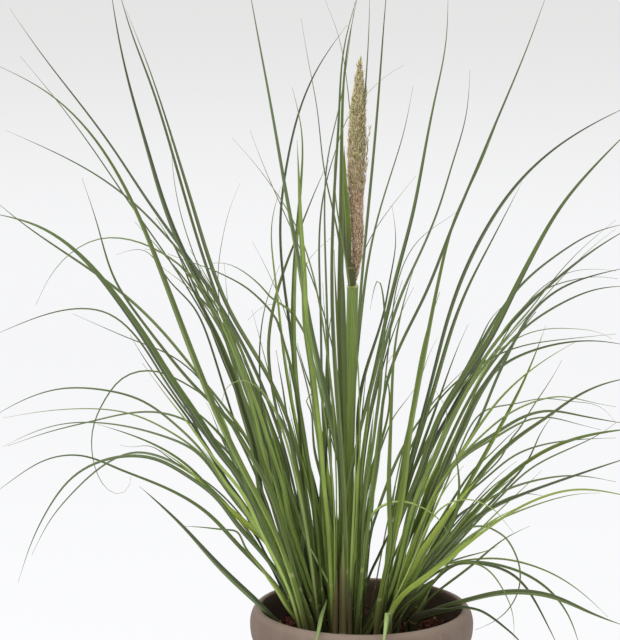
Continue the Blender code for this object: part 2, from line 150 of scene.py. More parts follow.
# %% Finishes
class Finish:
    """A material under construction: one Principled surface and the nodes that feed it."""

    def __init__(self, name, **constants):
        self.material = bpy.data.materials.new(name)
        self.material.use_nodes = True
        self.tree = self.material.node_tree
        self.surface = self.tree.nodes["Principled BSDF"]
        for socket, value in constants.items():
            self.feed(self.surface.inputs[socket.replace("_", " ")], value)

    def feed(self, socket, value):
        """Link a wire to a socket, or write a plain value on it."""
        if isinstance(value, Wire):
            self.tree.links.new(value.socket, socket)
        else:
            socket.default_value = value

    def node(self, kind, settings=None, values=None, output=None):
        """Add a node: its settings first, then its sockets. Returns its first live output."""
        made = self.tree.nodes.new(kind)
        for setting, value in (settings or {}).items():
            setattr(made, setting, value)
        for socket, value in (values or {}).items():
            self.feed(made.inputs[socket], value)
        if output is not None:
            return Wire(self, made.outputs[output])
        return Wire(self, next(socket for socket in made.outputs if socket.enabled))

    def attribute(self, name):
        """A number kept on each point of the mesh."""
        return self.node("ShaderNodeAttribute", {"attribute_name": name}, output="Fac")

    def place(self):
        """The point's own place in the object, in metres."""
        return self.node("ShaderNodeTexCoord", output="Object")

    def vector(self, x, y, z):
        return self.node("ShaderNodeCombineXYZ", values={"X": x, "Y": y, "Z": z})

    def stretch(self, vector, scale):
        """Scale a vector by three numbers."""
        return self.node("ShaderNodeVectorMath", {"operation": "MULTIPLY"}, {0: vector, 1: scale})

    def cloud(self, vector, scale, detail=3.0, roughness=0.55):
        """Soft noise from 0 to 1."""
        values = {"Vector": vector, "Scale": scale, "Detail": detail, "Roughness": roughness}
        return self.node("ShaderNodeTexNoise", values=values)

    def grains(self, vector, scale, output="Distance"):
        """Cell pattern: the distance to the nearest grain's middle, or that grain's own colour."""
        return self.node("ShaderNodeTexVoronoi", values={"Vector": vector, "Scale": scale},
                         output=output)

    def blend(self, share, first, second):
        """Mix two colours."""
        return self.node("ShaderNodeMix", {"data_type": "RGBA"},
                         {0: share, 6: first, 7: second}, output=2)

    def shade(self, colour, brightness):
        """Brighten or darken a colour by a factor."""
        return self.node("ShaderNodeVectorMath", {"operation": "SCALE"},
                         {0: colour, "Scale": brightness})

    def relief(self, height, distance, strength=1.0):
        """Tilt the surface as a height in metres would."""
        values = {"Height": height, "Distance": distance, "Strength": strength}
        return self.node("ShaderNodeBump", values=values)

    def finish(self, **links):
        """Join the last wires to the surface and hand over the material."""
        for socket, value in links.items():
            self.feed(self.surface.inputs[socket.replace("_", " ")], value)
        return self.material


# %% Paints
def paint(red, green, blue):
    """A colour as paint shops give it, 0 to 255, turned into the linear values of a shader."""
    shares = np.array([red, green, blue]) / 255.0
    linear = np.where(shares <= 0.04045, shares / 12.92, ((shares + 0.055) / 1.055) ** 2.4)
    return (*(float(value) for value in linear), 1.0)


# %% [markdown]
# ## Meshes from arrays
# Every new piece is a grid of points worked out at once. Rings carried along a path close into
# a skin, with a cap at each end. `add_piece` puts points, faces and per-point numbers in a mesh.

# %% Grids into meshes
def ring_faces(rings, sides):
    """Faces of a tube of rings x sides points: quads between neighbours, and a cap at each end."""
    ring = np.arange(rings - 1)[:, None] * sides
    side = np.arange(sides)[None, :]
    after = (side + 1) % sides
    quads = np.stack([ring + side, ring + after, ring + sides + after, ring + sides + side], axis=-1)
    first = np.arange(sides)[::-1].tolist()
    last = (np.arange(sides) + (rings - 1) * sides).tolist()
    return quads.reshape(-1, 4).tolist() + [first, last]


def add_piece(name, points, faces, numbers, finish, slot, replaced=(), smooth=True):
    """Make a mesh piece from arrays, give it its finish, and let it ride with the pot."""
    mesh = bpy.data.meshes.new(name)
    mesh.from_pydata(np.asarray(points).reshape(-1, 3), [], faces)
    for key, values in numbers.items():
        store = mesh.attributes.new(key, "FLOAT", "POINT")
        store.data.foreach_set("value", np.ascontiguousarray(values, np.float32).ravel())
    mesh.polygons.foreach_set("use_smooth", np.full(len(mesh.polygons), smooth))
    mesh.materials.append(finish)
    piece = put_in_scene(name, mesh)
    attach(piece, "root")
    if replaced:
        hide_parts(*replaced)
    return piece


def join(parts):
    """Put several (points, faces, numbers) together as one."""
    points, faces, numbers, start = [], [], {}, 0
    for part_points, part_faces, part_numbers in parts:
        points.append(np.asarray(part_points).reshape(-1, 3))
        faces += [[corner + start for corner in face] for face in part_faces]
        for key, values in part_numbers.items():
            numbers.setdefault(key, []).append(np.ravel(values))
        start += len(points[-1])
    return np.concatenate(points), faces, {key: np.concatenate(n) for key, n in numbers.items()}


# %% [markdown]
# ## The planter
# A round planter of a cast, stone-like mix: taupe, matt and faintly mottled, with a broad rolled
# rim whose inner edge is crisp. A turned profile is right for it: (radius, height) points up the
# outside from the middle of the base, over the rim in quarter ellipses, and down the inside.

# %% Planter dimensions, read from its solid
POT_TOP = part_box("pot")[1]
POT_HEIGHT = POT_TOP.z
RIM_RADIUS = POT_TOP.x
RIM_WIDTH = 0.015
MOUTH_RADIUS = RIM_RADIUS - RIM_WIDTH
ROLL_HEIGHT = 0.047          # of the rolled rim, from its underside to the top
ROLL_BELLY = 0.023           # how far below the top the rim is widest
ROLL_TUCK = 0.007            # how far the rim draws in again towards its underside
INNER_ROUNDING = 0.003       # of the mouth's edge
EDGE_ROUNDING = 0.006        # of the foot's edge
BASE_RADIUS = 0.100
WALL = 0.009
FLOOR_THICKNESS = 0.012
HEADSPACE = 0.038            # from the rim down to the soil
AXIS_GAP = 0.0005            # radius of the smallest ring, which a cap closes
TOUCHING_GAP = 0.0003        # between the soil and the planter
SOIL_TOP = POT_HEIGHT - HEADSPACE
print("planter", round(POT_HEIGHT, 3), "m tall,", round(2 * RIM_RADIUS, 3), "m across the rim")


def arc(radius, height, reach, rise, start, end, count):
    """Points of an upright ellipse in the profile: its middle, its two half sizes, two angles."""
    angle = np.radians(np.linspace(start, end, count))
    return np.stack([radius + reach * np.cos(angle), height + rise * np.sin(angle)], axis=1)


def turned(profile, sides):
    """Turn a profile: each (radius, height) becomes a ring at angles spread evenly round +Z."""
    angle = np.linspace(0.0, 2.0 * math.pi, sides, endpoint=False)[None, :]
    radius, height = profile[:, 0][:, None], profile[:, 1][:, None]
    return np.stack([radius * np.cos(angle), radius * np.sin(angle), height + 0.0 * angle], axis=-1)


# %% Planter profile
def planter_profile():
    """The planter's section: arcs for every rounded edge, straight runs between them."""
    foot = POT_HEIGHT - ROLL_HEIGHT
    crest = MOUTH_RADIUS + INNER_ROUNDING
    belly = POT_HEIGHT - ROLL_BELLY
    tuck = RIM_RADIUS - ROLL_TUCK
    edge = INNER_ROUNDING
    foot_edge = EDGE_ROUNDING
    wall_foot = [BASE_RADIUS + 0.0003, EDGE_ROUNDING + 0.001]
    wall_head = [tuck - 0.0015, foot - 0.0005]
    runs = [
        np.array([[AXIS_GAP, 0.0]]),
        arc(BASE_RADIUS - foot_edge, foot_edge, foot_edge, foot_edge, -90.0, 0.0, 6),
        np.linspace(wall_foot, wall_head, 24),
        arc(tuck, belly, ROLL_TUCK, belly - foot, -90.0, 0.0, 14),
        arc(crest, belly, RIM_RADIUS - crest, ROLL_BELLY, 0.0, 90.0, 22)[1:],
        arc(crest, POT_HEIGHT - edge, edge, edge, 90.0, 180.0, 9)[1:],
        np.linspace([MOUTH_RADIUS, POT_HEIGHT - edge - 0.001], [MOUTH_RADIUS, foot], 6),
        np.array([[BASE_RADIUS - WALL, FLOOR_THICKNESS], [AXIS_GAP, FLOOR_THICKNESS]]),
    ]
    return np.concatenate(runs)


# %% [markdown]
# The planter's finish is a chalky taupe. Slow clouds and fine speckle change its colour a little,
# the rim's crest has a painted highlight where its top faces the light, and the inside has painted shade.

# %% Planter finish and mesh
def planter_finish():
    """Matt cast mix: colour = taupe shaded by slow clouds and fine grain, with a painted highlight on the
    rim's top and painted shade inside.
    """
    clay = Finish("planter_taupe", Specular_IOR_Level=0.35)
    place = clay.place()
    slow = clay.cloud(place, 9.0, 4.0)
    fine = clay.cloud(place, 160.0, 2.0, 0.7)
    grain = clay.cloud(place, 900.0, 2.0, 0.8)
    streaks = clay.cloud(clay.stretch(place, (1.0, 1.0, 0.12)), 40.0, 3.0)
    colour = clay.blend(slow.ramp(0.35, 0.68), paint(112, 95, 83), paint(130, 113, 101))
    colour = clay.blend(streaks.ramp(0.55, 0.85) * 0.30, colour, paint(100, 84, 73))
    colour = clay.shade(colour, 0.90 + 0.20 * fine)
    height = clay.node("ShaderNodeSeparateXYZ", values={0: place}, output="Z")
    # Painted highlight: the rim's top is made paler where it faces the light.
    crest_painted_highlight = height.ramp(POT_HEIGHT - 0.010, POT_HEIGHT - 0.001)
    colour = clay.blend(crest_painted_highlight * 0.18, colour, paint(160, 144, 131))
    # Painted shade: the inside wall and floor are darkened towards a dark brown.
    inside = clay.attribute("inside")
    colour = clay.blend(inside * 0.85, colour, paint(86, 68, 58))
    relief = clay.relief(fine * 0.6 + grain * 0.4, 0.0005, 0.55)
    return clay.finish(Base_Color=colour, Roughness=0.62 + 0.18 * slow, Normal=relief)


POT_SIDES = 160
profile = planter_profile()
rings = turned(profile, POT_SIDES)
# Where the planter's finish paints shade: its inside wall and floor.
inside = (profile[:, 1] < POT_HEIGHT - 0.005) & (np.arange(len(profile)) > profile[:, 1].argmax())
inside_painted_shade = np.repeat(inside.astype(float)[:, None], POT_SIDES, axis=1)
planter = add_piece("planter", rings, ring_faces(len(profile), POT_SIDES), {"inside": inside_painted_shade},
                    planter_finish(), "planter_taupe", ["pot"])
print("planter", len(planter.data.polygons), "faces")

# %% [markdown]
# ## The soil
# Dark potting soil fills the planter to a few centimetres below its rim. It is a turned plug
# whose top is roughened by a sum of waves, because a flat disc would look poured.

# %% Soil plug
SOIL_SIDES = 120
SOIL_TOP_RINGS = 46
SOIL_RADIUS = MOUTH_RADIUS - TOUCHING_GAP
SOIL_SETTLING = 0.0005       # how far the surface lies below its solid's top
SOIL_FALL = 0.003            # how much lower it lies at the wall
LUMP_HEIGHT, LUMP_SIZE = 0.0012, 0.012


def waves(x, y, size):
    """A lumpy sheet: products of sines at a few wavelengths, from -1 to 1."""
    first = np.sin(x / size * 1.7 + 1.3) * np.sin(y / size * 1.9 + 0.4)
    second = np.sin(x / size * 4.1 + 2.1 * y / size) * 0.5
    third = np.sin(y / size * 7.3 - 3.1 * x / size + 0.7) * 0.3
    return (first + second + third) / 1.8


def soil_height(x, y):
    """Height of the soil: level in the middle, lower at the wall, lumpy by two millimetres."""
    reach = np.hypot(x, y) / SOIL_RADIUS
    lumps = LUMP_HEIGHT * waves(x, y, LUMP_SIZE)
    return SOIL_TOP - SOIL_SETTLING - SOIL_FALL * reach ** 4 + lumps


top_radii = np.linspace(SOIL_RADIUS, AXIS_GAP, SOIL_TOP_RINGS)
top = turned(np.stack([top_radii, np.zeros_like(top_radii)], axis=1), SOIL_SIDES)
top[..., 2] = soil_height(top[..., 0], top[..., 1])
SOIL_BOTTOM = FLOOR_THICKNESS + TOUCHING_GAP
side = turned(np.array([[AXIS_GAP, SOIL_BOTTOM],
                        [BASE_RADIUS - WALL - TOUCHING_GAP, SOIL_BOTTOM],
                        [SOIL_RADIUS, POT_HEIGHT - ROLL_HEIGHT]]), SOIL_SIDES)
soil_rings = np.concatenate([side, top])


def soil_finish():
    """Loose earth: near-black brown broken by lighter crumbs, and fully rough."""
    earth = Finish("soil_brown", Specular_IOR_Level=0.2)
    place = earth.place()
    crumbs = earth.grains(place, 420.0)
    clods = earth.cloud(place, 120.0, 5.0, 0.7)
    colour = earth.blend(clods.ramp(0.35, 0.7), paint(30, 20, 16), paint(78, 50, 38))
    relief = earth.relief(clods + 0.5 * crumbs, 0.002, 0.9)
    return earth.finish(Base_Color=colour, Roughness=0.95, Normal=relief)


add_piece("soil", soil_rings, ring_faces(len(soil_rings), SOIL_SIDES), {}, soil_finish(),
          "soil_brown", ["soil"])
print("soil top between", round(float(top[..., 2].min()), 4), "and", round(float(top[..., 2].max()), 4))

# %% [markdown]
# A loose layer of reddish-brown grit covers the soil. Displacing the soil could only make bumps,
# so each lump is a body of its own: an octahedron cut once, stretched, turned and dented. It has
# 32 flat faces, no two are alike, and they are even over the disc, most of them small.

# %% Grit lumps
GRIT_COUNT = 3400
GRIT_SEED = 11
GRIT_SMALLEST, GRIT_SPREAD = 0.0011, 0.0028
GRIT_CORNERS = np.array([[1, 0, 0], [-1, 0, 0], [0, 1, 0], [0, -1, 0], [0, 0, 1], [0, 0, -1]], float)
GRIT_FACES = np.array([[0, 2, 4], [2, 1, 4], [1, 3, 4], [3, 0, 4],
                       [2, 0, 5], [1, 2, 5], [3, 1, 5], [0, 3, 5]])


def cut_once(corners, faces):
    """Cut each triangle into four by its edge middles, pushed out to the unit sphere."""
    edges = np.sort(faces[:, [[0, 1], [1, 2], [2, 0]]].reshape(-1, 2), axis=1)
    edges, where = np.unique(edges, axis=0, return_inverse=True)
    middles = corners[edges].mean(axis=1)
    middles /= np.linalg.norm(middles, axis=1)[:, None]
    middle = where.reshape(-1, 3) + len(corners)
    a, b, c = faces.T
    ab, bc, ca = middle.T
    parts = [np.stack(f, axis=1) for f in ((a, ab, ca), (ab, b, bc), (ca, bc, c), (ab, bc, ca))]
    return np.concatenate([corners, middles]), np.concatenate(parts)


# %% Scattered lumps
def scatter_grit(count, seed):
    """Lumps on the soil: even over the disc, mostly small, each one stretched, turned and dented."""
    draw = np.random.default_rng(seed)
    corners, faces = cut_once(GRIT_CORNERS, GRIT_FACES)
    reach = SOIL_RADIUS * 0.985 * np.sqrt(draw.random(count))
    angle = draw.uniform(0.0, 2.0 * math.pi, count)
    size = GRIT_SMALLEST + GRIT_SPREAD * draw.random(count) ** 2.2
    x, y = reach * np.cos(angle), reach * np.sin(angle)
    middle = np.stack([x, y, soil_height(x, y) + size * 0.35], axis=1)
    stretch = draw.uniform(0.6, 1.25, (count, 1, 3))
    dents = draw.uniform(0.72, 1.18, (count, len(corners), 1))
    lumps = corners[None] * stretch * dents * size[:, None, None]
    spin = draw.normal(size=(count, 4))
    w, i, j, k = (spin / np.linalg.norm(spin, axis=1)[:, None]).T
    turn = np.stack([1 - 2 * (j * j + k * k), 2 * (i * j - k * w), 2 * (i * k + j * w),
                     2 * (i * j + k * w), 1 - 2 * (i * i + k * k), 2 * (j * k - i * w),
                     2 * (i * k - j * w), 2 * (j * k + i * w), 1 - 2 * (i * i + j * j)], axis=1)
    lumps = np.einsum("nab,npb->npa", turn.reshape(count, 3, 3), lumps) + middle[:, None]
    all_faces = (faces[None] + (np.arange(count) * len(corners))[:, None, None]).reshape(-1, 3)
    tint = np.repeat(draw.random(count)[:, None], len(corners), axis=1)
    return lumps, all_faces.tolist(), {"tint": tint}


# %% Grit finish and mesh
def grit_finish():
    """Porous red-brown stone: each lump has its own shade, some nearly black, a few pale."""
    stone = Finish("grit_red_brown", Specular_IOR_Level=0.3)
    tint = stone.attribute("tint")
    pits = stone.cloud(stone.place(), 700.0, 3.0, 0.7)
    colour = stone.blend(tint.ramp(0.0, 0.75), paint(36, 21, 18), paint(104, 54, 42))
    colour = stone.blend(tint.ramp(0.93, 0.99), colour, paint(146, 108, 90))
    colour = stone.shade(colour, 0.65 + 0.6 * pits)
    return stone.finish(Base_Color=colour, Roughness=0.9, Normal=stone.relief(pits, 0.0008, 0.8))


points, faces, numbers = scatter_grit(GRIT_COUNT, GRIT_SEED)
add_piece("soil_grit", points, faces, numbers, grit_finish(), "soil_brown", smooth=False)
print("grit", GRIT_COUNT, "lumps,", len(faces), "faces")

# %% [markdown]
# ## Leaves
# A grass leaf is one strip: a sheath that wraps its shoot, a pale collar where the sheath ends,
# and a long blade folded along its midrib, drawn out to a fine tip. Each packed blade already
# has the right course, so its rings of corners are read back and smoothed with a spline.

# %% Smooth courses
def smooth_course(knots, count):
    """A natural cubic spline through the knots, read at count even steps of its length.

    The bends at the knots solve a banded system: continuous slope inside, no bend at the ends.
    """
    knots = np.asarray(knots, float)
    chords = np.linalg.norm(np.diff(knots, axis=0), axis=1)
    times = np.concatenate([[0.0], np.cumsum(chords)])
    lower, upper = chords.copy(), chords.copy()
    lower[-1] = upper[0] = 0.0
    middle = np.concatenate([[1.0], 2.0 * (chords[:-1] + chords[1:]), [1.0]])
    slopes = np.diff(knots, axis=0) / chords[:, None]
    pull = np.zeros_like(knots)
    pull[1:-1] = 6.0 * np.diff(slopes, axis=0)
    bends = np.linalg.solve(np.diag(middle) + np.diag(lower, -1) + np.diag(upper, 1), pull)

    fine = np.linspace(0.0, times[-1], 30 * len(knots))
    span = np.clip(np.searchsorted(times, fine, side="right") - 1, 0, len(knots) - 2)
    gap = chords[span][:, None]
    after = (fine - times[span])[:, None] / gap
    before = 1.0 - after
    curve = before * knots[span] + after * knots[span + 1]
    curve += gap ** 2 / 6.0 * ((before ** 3 - before) * bends[span]
                               + (after ** 3 - after) * bends[span + 1])
    travel = np.concatenate([[0.0], np.cumsum(np.linalg.norm(np.diff(curve, axis=0), axis=1))])
    even = np.linspace(0.0, travel[-1], count)
    return np.stack([np.interp(even, travel, curve[:, axis]) for axis in range(3)], axis=1)


# %% Courses read from the solids
def solid_course(node, foot_size=0.012):
    """The middles and the reach of a solid's rings of corners, from the soil to the tip.

    The first ring is the corners about the one nearest the crown. Corners that share a
    triangle with the last ring found, and belong to none yet, are the next ring.
    """
    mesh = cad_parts[node].data
    corners = np.empty(len(mesh.vertices) * 3, np.float32)
    mesh.vertices.foreach_get("co", corners)
    spots, which = np.unique(corners.reshape(-1, 3).round(5), axis=0, return_inverse=True)
    loops = np.empty(len(mesh.loops), np.int32)
    mesh.loops.foreach_get("vertex_index", loops)
    triangles = which.ravel()[loops].reshape(-1, 3)
    foot = spots[np.linalg.norm(spots - [0.0, 0.0, SOIL_TOP], axis=1).argmin()]
    ring = np.where(np.linalg.norm(spots - foot, axis=1) < foot_size, 0, -1)
    while (ring < 0).any():
        touching = triangles[(ring[triangles] == ring.max()).any(axis=1)]
        fresh = touching[ring[touching] < 0]
        if not fresh.size:
            break
        ring[fresh] = ring.max() + 1
    spots, ring = spots[ring >= 0], ring[ring >= 0]
    count = np.bincount(ring)
    middles = np.stack([np.bincount(ring, spots[:, axis]) / count for axis in range(3)], axis=1)
    reach = np.bincount(ring, np.linalg.norm(spots - middles[ring], axis=1)) / count
    return middles, reach


STEM_DEPTH = 0.008           # how far under the soil's top a leaf that stands for a solid begins


def rooted(middles):
    """The middles with one more before them, straight on from the first two, under the soil.

    A solid ends a little above the soil so that the two don't overlap. The leaf that stands
    for it goes into the ground. The collar leaf starts on the stalk and is left as it is.
    """
    if middles[0, 2] > SOIL_TOP + 0.02:
        return middles
    onwards = middles[0] - middles[1]
    root = middles[0] + onwards * (SOIL_TOP - STEM_DEPTH - middles[0, 2]) / onwards[2]
    return np.vstack([root, middles])


# %% [markdown]
# The skin of a leaf is a grid: steps along its course, columns across it, under and upper side.
# Near the root the section is an arc, the sheath. Past the collar it opens into a shallow V.
# The blade is turned about its own course, so that its upper side looks up and inwards, as
# growing leaves do, while the share of its width that shows from the front stays as seen.

# %% Leaf skin
SHEATH_SHARE = 0.13          # of a leaf's length
SHEATH_SWELL = 0.45          # how much wider the sheath is than the blade
NECK = 0.16                  # how much narrower the blade starts than it becomes
TAPER_START = 0.28           # share of the length at which the blade starts to narrow
SWAY = 0.28                  # radians that a blade twists to and fro
FLAT_ROLL = 0.05             # the roll that is left in the open blade
MIDRIB_THICKNESS = 0.0009
EDGE_THINNESS = 0.22         # of the midrib's thickness, also at the tip
FULL_THICKNESS_HALF = 0.0022  # half width from which a leaf has its full thickness
PLAIN_LOOKS = {"grey": 0.0, "far": 0.70}


def unit(vectors):
    """Vectors shortened or stretched to length one."""
    return vectors / np.maximum(np.linalg.norm(vectors, axis=-1, keepdims=True), 1e-9)


def ease(values, start, end):
    """A smooth step from 0 at start to 1 at end."""
    share = np.clip((values - start) / (end - start), 0.0, 1.0)
    return share * share * (3.0 - 2.0 * share)


def grow_leaf(course, width, columns, looks, showing=0.80, wrap=1.5, fold=0.48, taper=2.4,
              least=0.07, shape=None):
    """One leaf as a closed skin: its points, faces and numbers.

    The width follows the taper, or a list of shares of it at even steps when one is given.

    Frame at each step: ahead along the course, aside across the line of sight, away from the
    viewer. The blade lies along cos(turn) aside + sin(turn) away, its upper side looks along
    ahead x blade. Section, for u from -1 to 1 and half the width h: an arc of h (sin(a u),
    1 - cos(a u)) / a, plus a fold that lifts the edges by h |u| tan(fold). Half the thickness
    goes to either side of it, most at the midrib.
    """
    steps = len(course)
    along = np.linspace(0.0, 1.0, steps)
    ahead = unit(np.gradient(course, axis=0))
    aside = unit(np.cross(ahead, course - VIEW_EYE))
    away = np.cross(aside, ahead)
    facing = 1.0 if course[:, 1].mean() > 0.0 else -1.0
    lift = facing if (aside[:, 2] * along).sum() > 0.0 else -facing
    sway = SWAY * np.sin(2.0 * math.pi * (0.9 * along + 5.0 * looks["tint"])) * ease(along, 0.1, 0.4)
    turn = (lift * math.acos(showing) + sway)[:, None]
    blade = facing * (np.cos(turn) * aside + np.sin(turn) * away)
    upper = np.cross(ahead, blade)

    sheath = 1.0 - ease(along, SHEATH_SHARE * 0.55, SHEATH_SHARE * 1.25)
    outline = (1.0 - NECK * ease(along, 0.30, 0.12)) * (1.0 + SHEATH_SWELL * sheath)
    outline *= 1.0 - np.clip((along - TAPER_START) / (1.0 - TAPER_START), 0.0, 1.0) ** taper
    if shape:
        outline = np.interp(along, np.linspace(0.0, 1.0, len(shape)), shape)
    half = width / 2.0 * np.maximum(outline, least)[:, None]
    roll = wrap * sheath[:, None] + FLAT_ROLL
    crease = (fold * (1.0 - sheath) * (1.0 + 0.7 * ease(along, 0.55, 1.0)))[:, None]
    across = np.linspace(-1.0, 1.0, columns)[None, :]
    sideways = half * np.sin(roll * across) / roll * np.cos(crease)
    upwards = half * ((1.0 - np.cos(roll * across)) / roll
                      + (np.sqrt(across ** 2 + 0.02) - 0.14) * np.tan(crease))
    lean = roll * across + crease * np.tanh(6.0 * across)
    thick = MIDRIB_THICKNESS * (EDGE_THINNESS + (1.0 - EDGE_THINNESS) * (1.0 - across ** 2))
    thick = 0.5 * thick * np.clip(half / FULL_THICKNESS_HALF, EDGE_THINNESS, 1.0)

    middle = course[:, None] + blade[:, None] * sideways[..., None] + upper[:, None] * upwards[..., None]
    skin = upper[:, None] * np.cos(lean)[..., None] - blade[:, None] * np.sin(lean)[..., None]
    under_side = middle - skin * thick[..., None]
    upper_side = (middle + skin * thick[..., None])[:, ::-1]
    points = np.concatenate([under_side, upper_side], axis=1)

    travel = np.concatenate([[0.0], np.cumsum(np.linalg.norm(np.diff(course, axis=0), axis=1))])
    whole = np.ones((steps, 2 * columns))
    numbers = {
        "along": along[:, None] * whole,
        "metres": travel[:, None] * whole,
        "across": np.concatenate([across, across[:, ::-1]], axis=1) * whole,
        "under": np.repeat([1.0, 0.0], columns)[None, :] * whole,
    }
    numbers |= {key: value * whole for key, value in (PLAIN_LOOKS | looks).items()}
    return points, ring_faces(steps, 2 * columns), numbers


# %% [markdown]
# Leaf green isn't one colour. Veins run the whole length as fine streaks, the midrib and the
# edges are paler, one half of the fold has painted light and the other painted shade, the sheath
# is purple-brown at the soil and darkened there as painted shade of the crown, and old tips dry
# to straw. All of it follows the leaf's own numbers, so the pattern stays with the leaf however
# it bends.

# %% Leaf finish
def leaf_finish(name, root_paint_and_shade, root_end):
    """Colour = three greens by tone, veins, patches and the painted light and shade of the fold's
    two halves; then the midrib, the edge, a grey bloom, the far part, the root, the collar and the
    dry tip are mixed over it. The root's own paint, the sheath's purple-brown darkened as painted
    shade of the crown, fades out at root_end metres from the soil."""
    leaf = Finish(name, Specular_IOR_Level=0.40)
    along, metres, across = (leaf.attribute(key) for key in ("along", "metres", "across"))
    tone, warm, tint, grey = (leaf.attribute(key) for key in ("tone", "warm", "tint", "grey"))
    far = leaf.attribute("far") * metres.ramp(0.18, 0.62)
    under = leaf.attribute("under")
    veins = leaf.cloud(leaf.vector(across * 9.0 + tint * 91.0, metres * 5.0, tint * 37.0), 1.0, 3.0)
    lines = leaf.cloud(leaf.vector(across * 30.0 + tint * 17.0, metres * 16.0, tint), 1.0, 2.0)
    patches = leaf.cloud(leaf.place(), 16.0, 3.0)
    # Painted light and shade: one half of the folded blade is made lighter, the other darker; tint picks
    # which.
    painted_lit_half = (across.ramp(-0.14, 0.14) - tint.ramp(0.49, 0.51)).size()
    value = tone + (veins - 0.5) * 0.80 + (patches - 0.5) * 0.55 + (painted_lit_half - 0.5) * 0.34
    value = value + under * 0.08
    colour = leaf.blend(value.ramp(-0.10, 0.50), paint(24, 36, 12), paint(89, 113, 34))
    colour = leaf.blend(value.ramp(0.42, 1.0), colour, paint(168, 194, 94))
    colour = leaf.blend(warm * (0.35 + 0.65 * veins), colour, paint(158, 172, 54))
    colour = leaf.blend(grey * 0.50, colour, paint(112, 122, 102))
    side = across.size()
    colour = leaf.blend((1.0 - side.ramp(0.03, 0.16)) * 0.34, colour, paint(166, 180, 118))
    colour = leaf.blend(side.ramp(0.86, 1.0) * 0.25, colour, paint(176, 182, 124))
    colour = leaf.blend(far * 0.80, colour, paint(78, 87, 62))
    colour = leaf.shade(colour, 0.80 + 0.40 * lines)
    # The root's paint is partly the sheath's own purple-brown, partly painted shade of the dense crown.
    root = 1.0 - metres.ramp(0.25 * root_end, root_end)
    colour = leaf.blend(root * (0.45 + 0.6 * veins), colour, root_paint_and_shade)
    collar = 1.0 - (along - SHEATH_SHARE).size().ramp(0.001, 0.006)
    colour = leaf.blend(collar * 0.40, colour, paint(184, 182, 124))
    dry = along.ramp(0.94, 1.0) * tint.ramp(0.50, 0.7)
    colour = leaf.blend(dry * 0.55, colour, paint(140, 126, 92))
    relief = leaf.relief(lines, 0.0003, 0.6)
    return leaf.finish(Base_Color=colour, Roughness=0.42 + 0.18 * veins, Normal=relief)


leaf_green = leaf_finish("leaf_green", paint(64, 56, 36), 0.095)
leaf_olive = leaf_finish("leaf_olive", paint(78, 64, 46), 0.110)
leaf_pale = leaf_finish("leaf_pale", paint(64, 56, 36), 0.080)

# %% [markdown]
# The 55 leaves that carry the clump's outline, and the leaf at the stalk's collar, stand for
# solids. Each keeps its solid's course, and about its width shows from the front. What differs
# from leaf to leaf, its tone, warmth, bloom and taper, comes from two tables that go by words
# in the leaf's name, or from a seeded draw where no word fits.

# %% The leaves that have solids of their own
LEAF_STEPS = 76
LEAF_COLUMNS = 7
WIDTH_PER_REACH = 2.40       # a leaf's width over its solid's half width: it turns partly edge-on
LOOKS = {  # tone, warmth, grey bloom and greyness of the far part that a blade's name gives it
    "right_broad_olive": (0.10, 0.15, 0.00, 0.5), "left_drooping": (0.16, 0.00, 0.60, 0.8),
    "flat_arch": (0.40, 0.00, 0.60, 0.9), "wide_arch": (0.34, 0.00, 0.60, 0.9),
    "over_rim": (0.20, 0.10, 0.25, 0.3), "low_pale": (0.72, 0.60, 0.00, 0.9),
    "folded": (0.84, 0.00, 0.95, 0.0), "broad_pale": (0.46, 0.15, 0.05, 0.1),
    "low_spear": (0.22, 0.00, 0.50, 0.6), "low_arch": (0.05, 0.00, 0.25, 0.7),
    "swan_neck": (0.02, 0.15, 0.10, 0.2), "long_arch": (-0.05, 0.00, 0.20, 0.2),
    "upright_broad": (0.10, 0.25, 0.00, 0.3), "upright_front": (0.32, 0.10, 0.25, 0.4),
    "tall_dark": (0.40, 0.00, 0.80, 0.2), "dark_left": (0.42, 0.10, 0.30, 0.2),
    "reach_front": (0.08, 0.05, 0.20, 0.4), "middle_hooked": (0.18, 0.05, 0.35, 0.5),
    "middle_wavy": (0.00, 0.00, 0.60, 0.6), "middle_short": (0.20, 0.00, 0.50, 0.5),
    "curled_tip": (0.00, 0.05, 0.35, 0.6), "upturned": (0.34, 0.15, 0.25, 0.6),
    "tall_inner": (0.22, 0.10, 0.25, 0.8), "tall_outer": (0.10, 0.00, 0.35, 0.8),
    "tall_middle": (0.10, 0.15, 0.20, 0.8), "long_dark": (-0.02, 0.10, 0.15, 0.3),
    "broad_dark": (0.08, 0.00, 0.30, 0.3), "spread_dark": (0.16, 0.15, 0.20, 0.9),
    "low_dark": (0.12, 0.05, 0.30, 0.9), "long_thin": (0.02, 0.00, 0.60, 0.6),
    "upright_olive": (0.42, 0.25, 0.00, 0.3), "spread_olive": (0.30, 0.15, 0.00, 0.4),
    "broad_olive": (0.40, 0.22, 0.00, 0.6), "flag": (0.04, 0.15, 0.00, 0.0),
    "olive": (0.42, 0.28, 0.00, 0.5), "yellow": (0.62, 0.80, 0.00, 1.0),
    "dark": (0.06, 0.00, 0.20, 0.5), "pale": (0.72, 0.10, 0.20, 0.4),
}
TAPERS = {  # how long a blade keeps its width: the higher, the longer
    "broad_pale": 5.0, "hooked": 4.0, "tall_outer": 4.0, "tall_middle": 3.4, "swan_neck": 3.4,
    "far_reach": 4.0, "round_arch": 2.8, "wide_arch": 2.3, "flat_arch": 2.2, "broad_dark": 3.4,
    "long": 4.0, "spread": 4.0, "arch_upper": 4.0, "arch_lower": 3.6, "low_dark": 4.0,
    "tall_low": 3.6, "broad_olive": 1.9, "low_arch": 1.7, "reach": 3.0, "upright": 3.0,
}
PLAIN_TAPER = 2.6
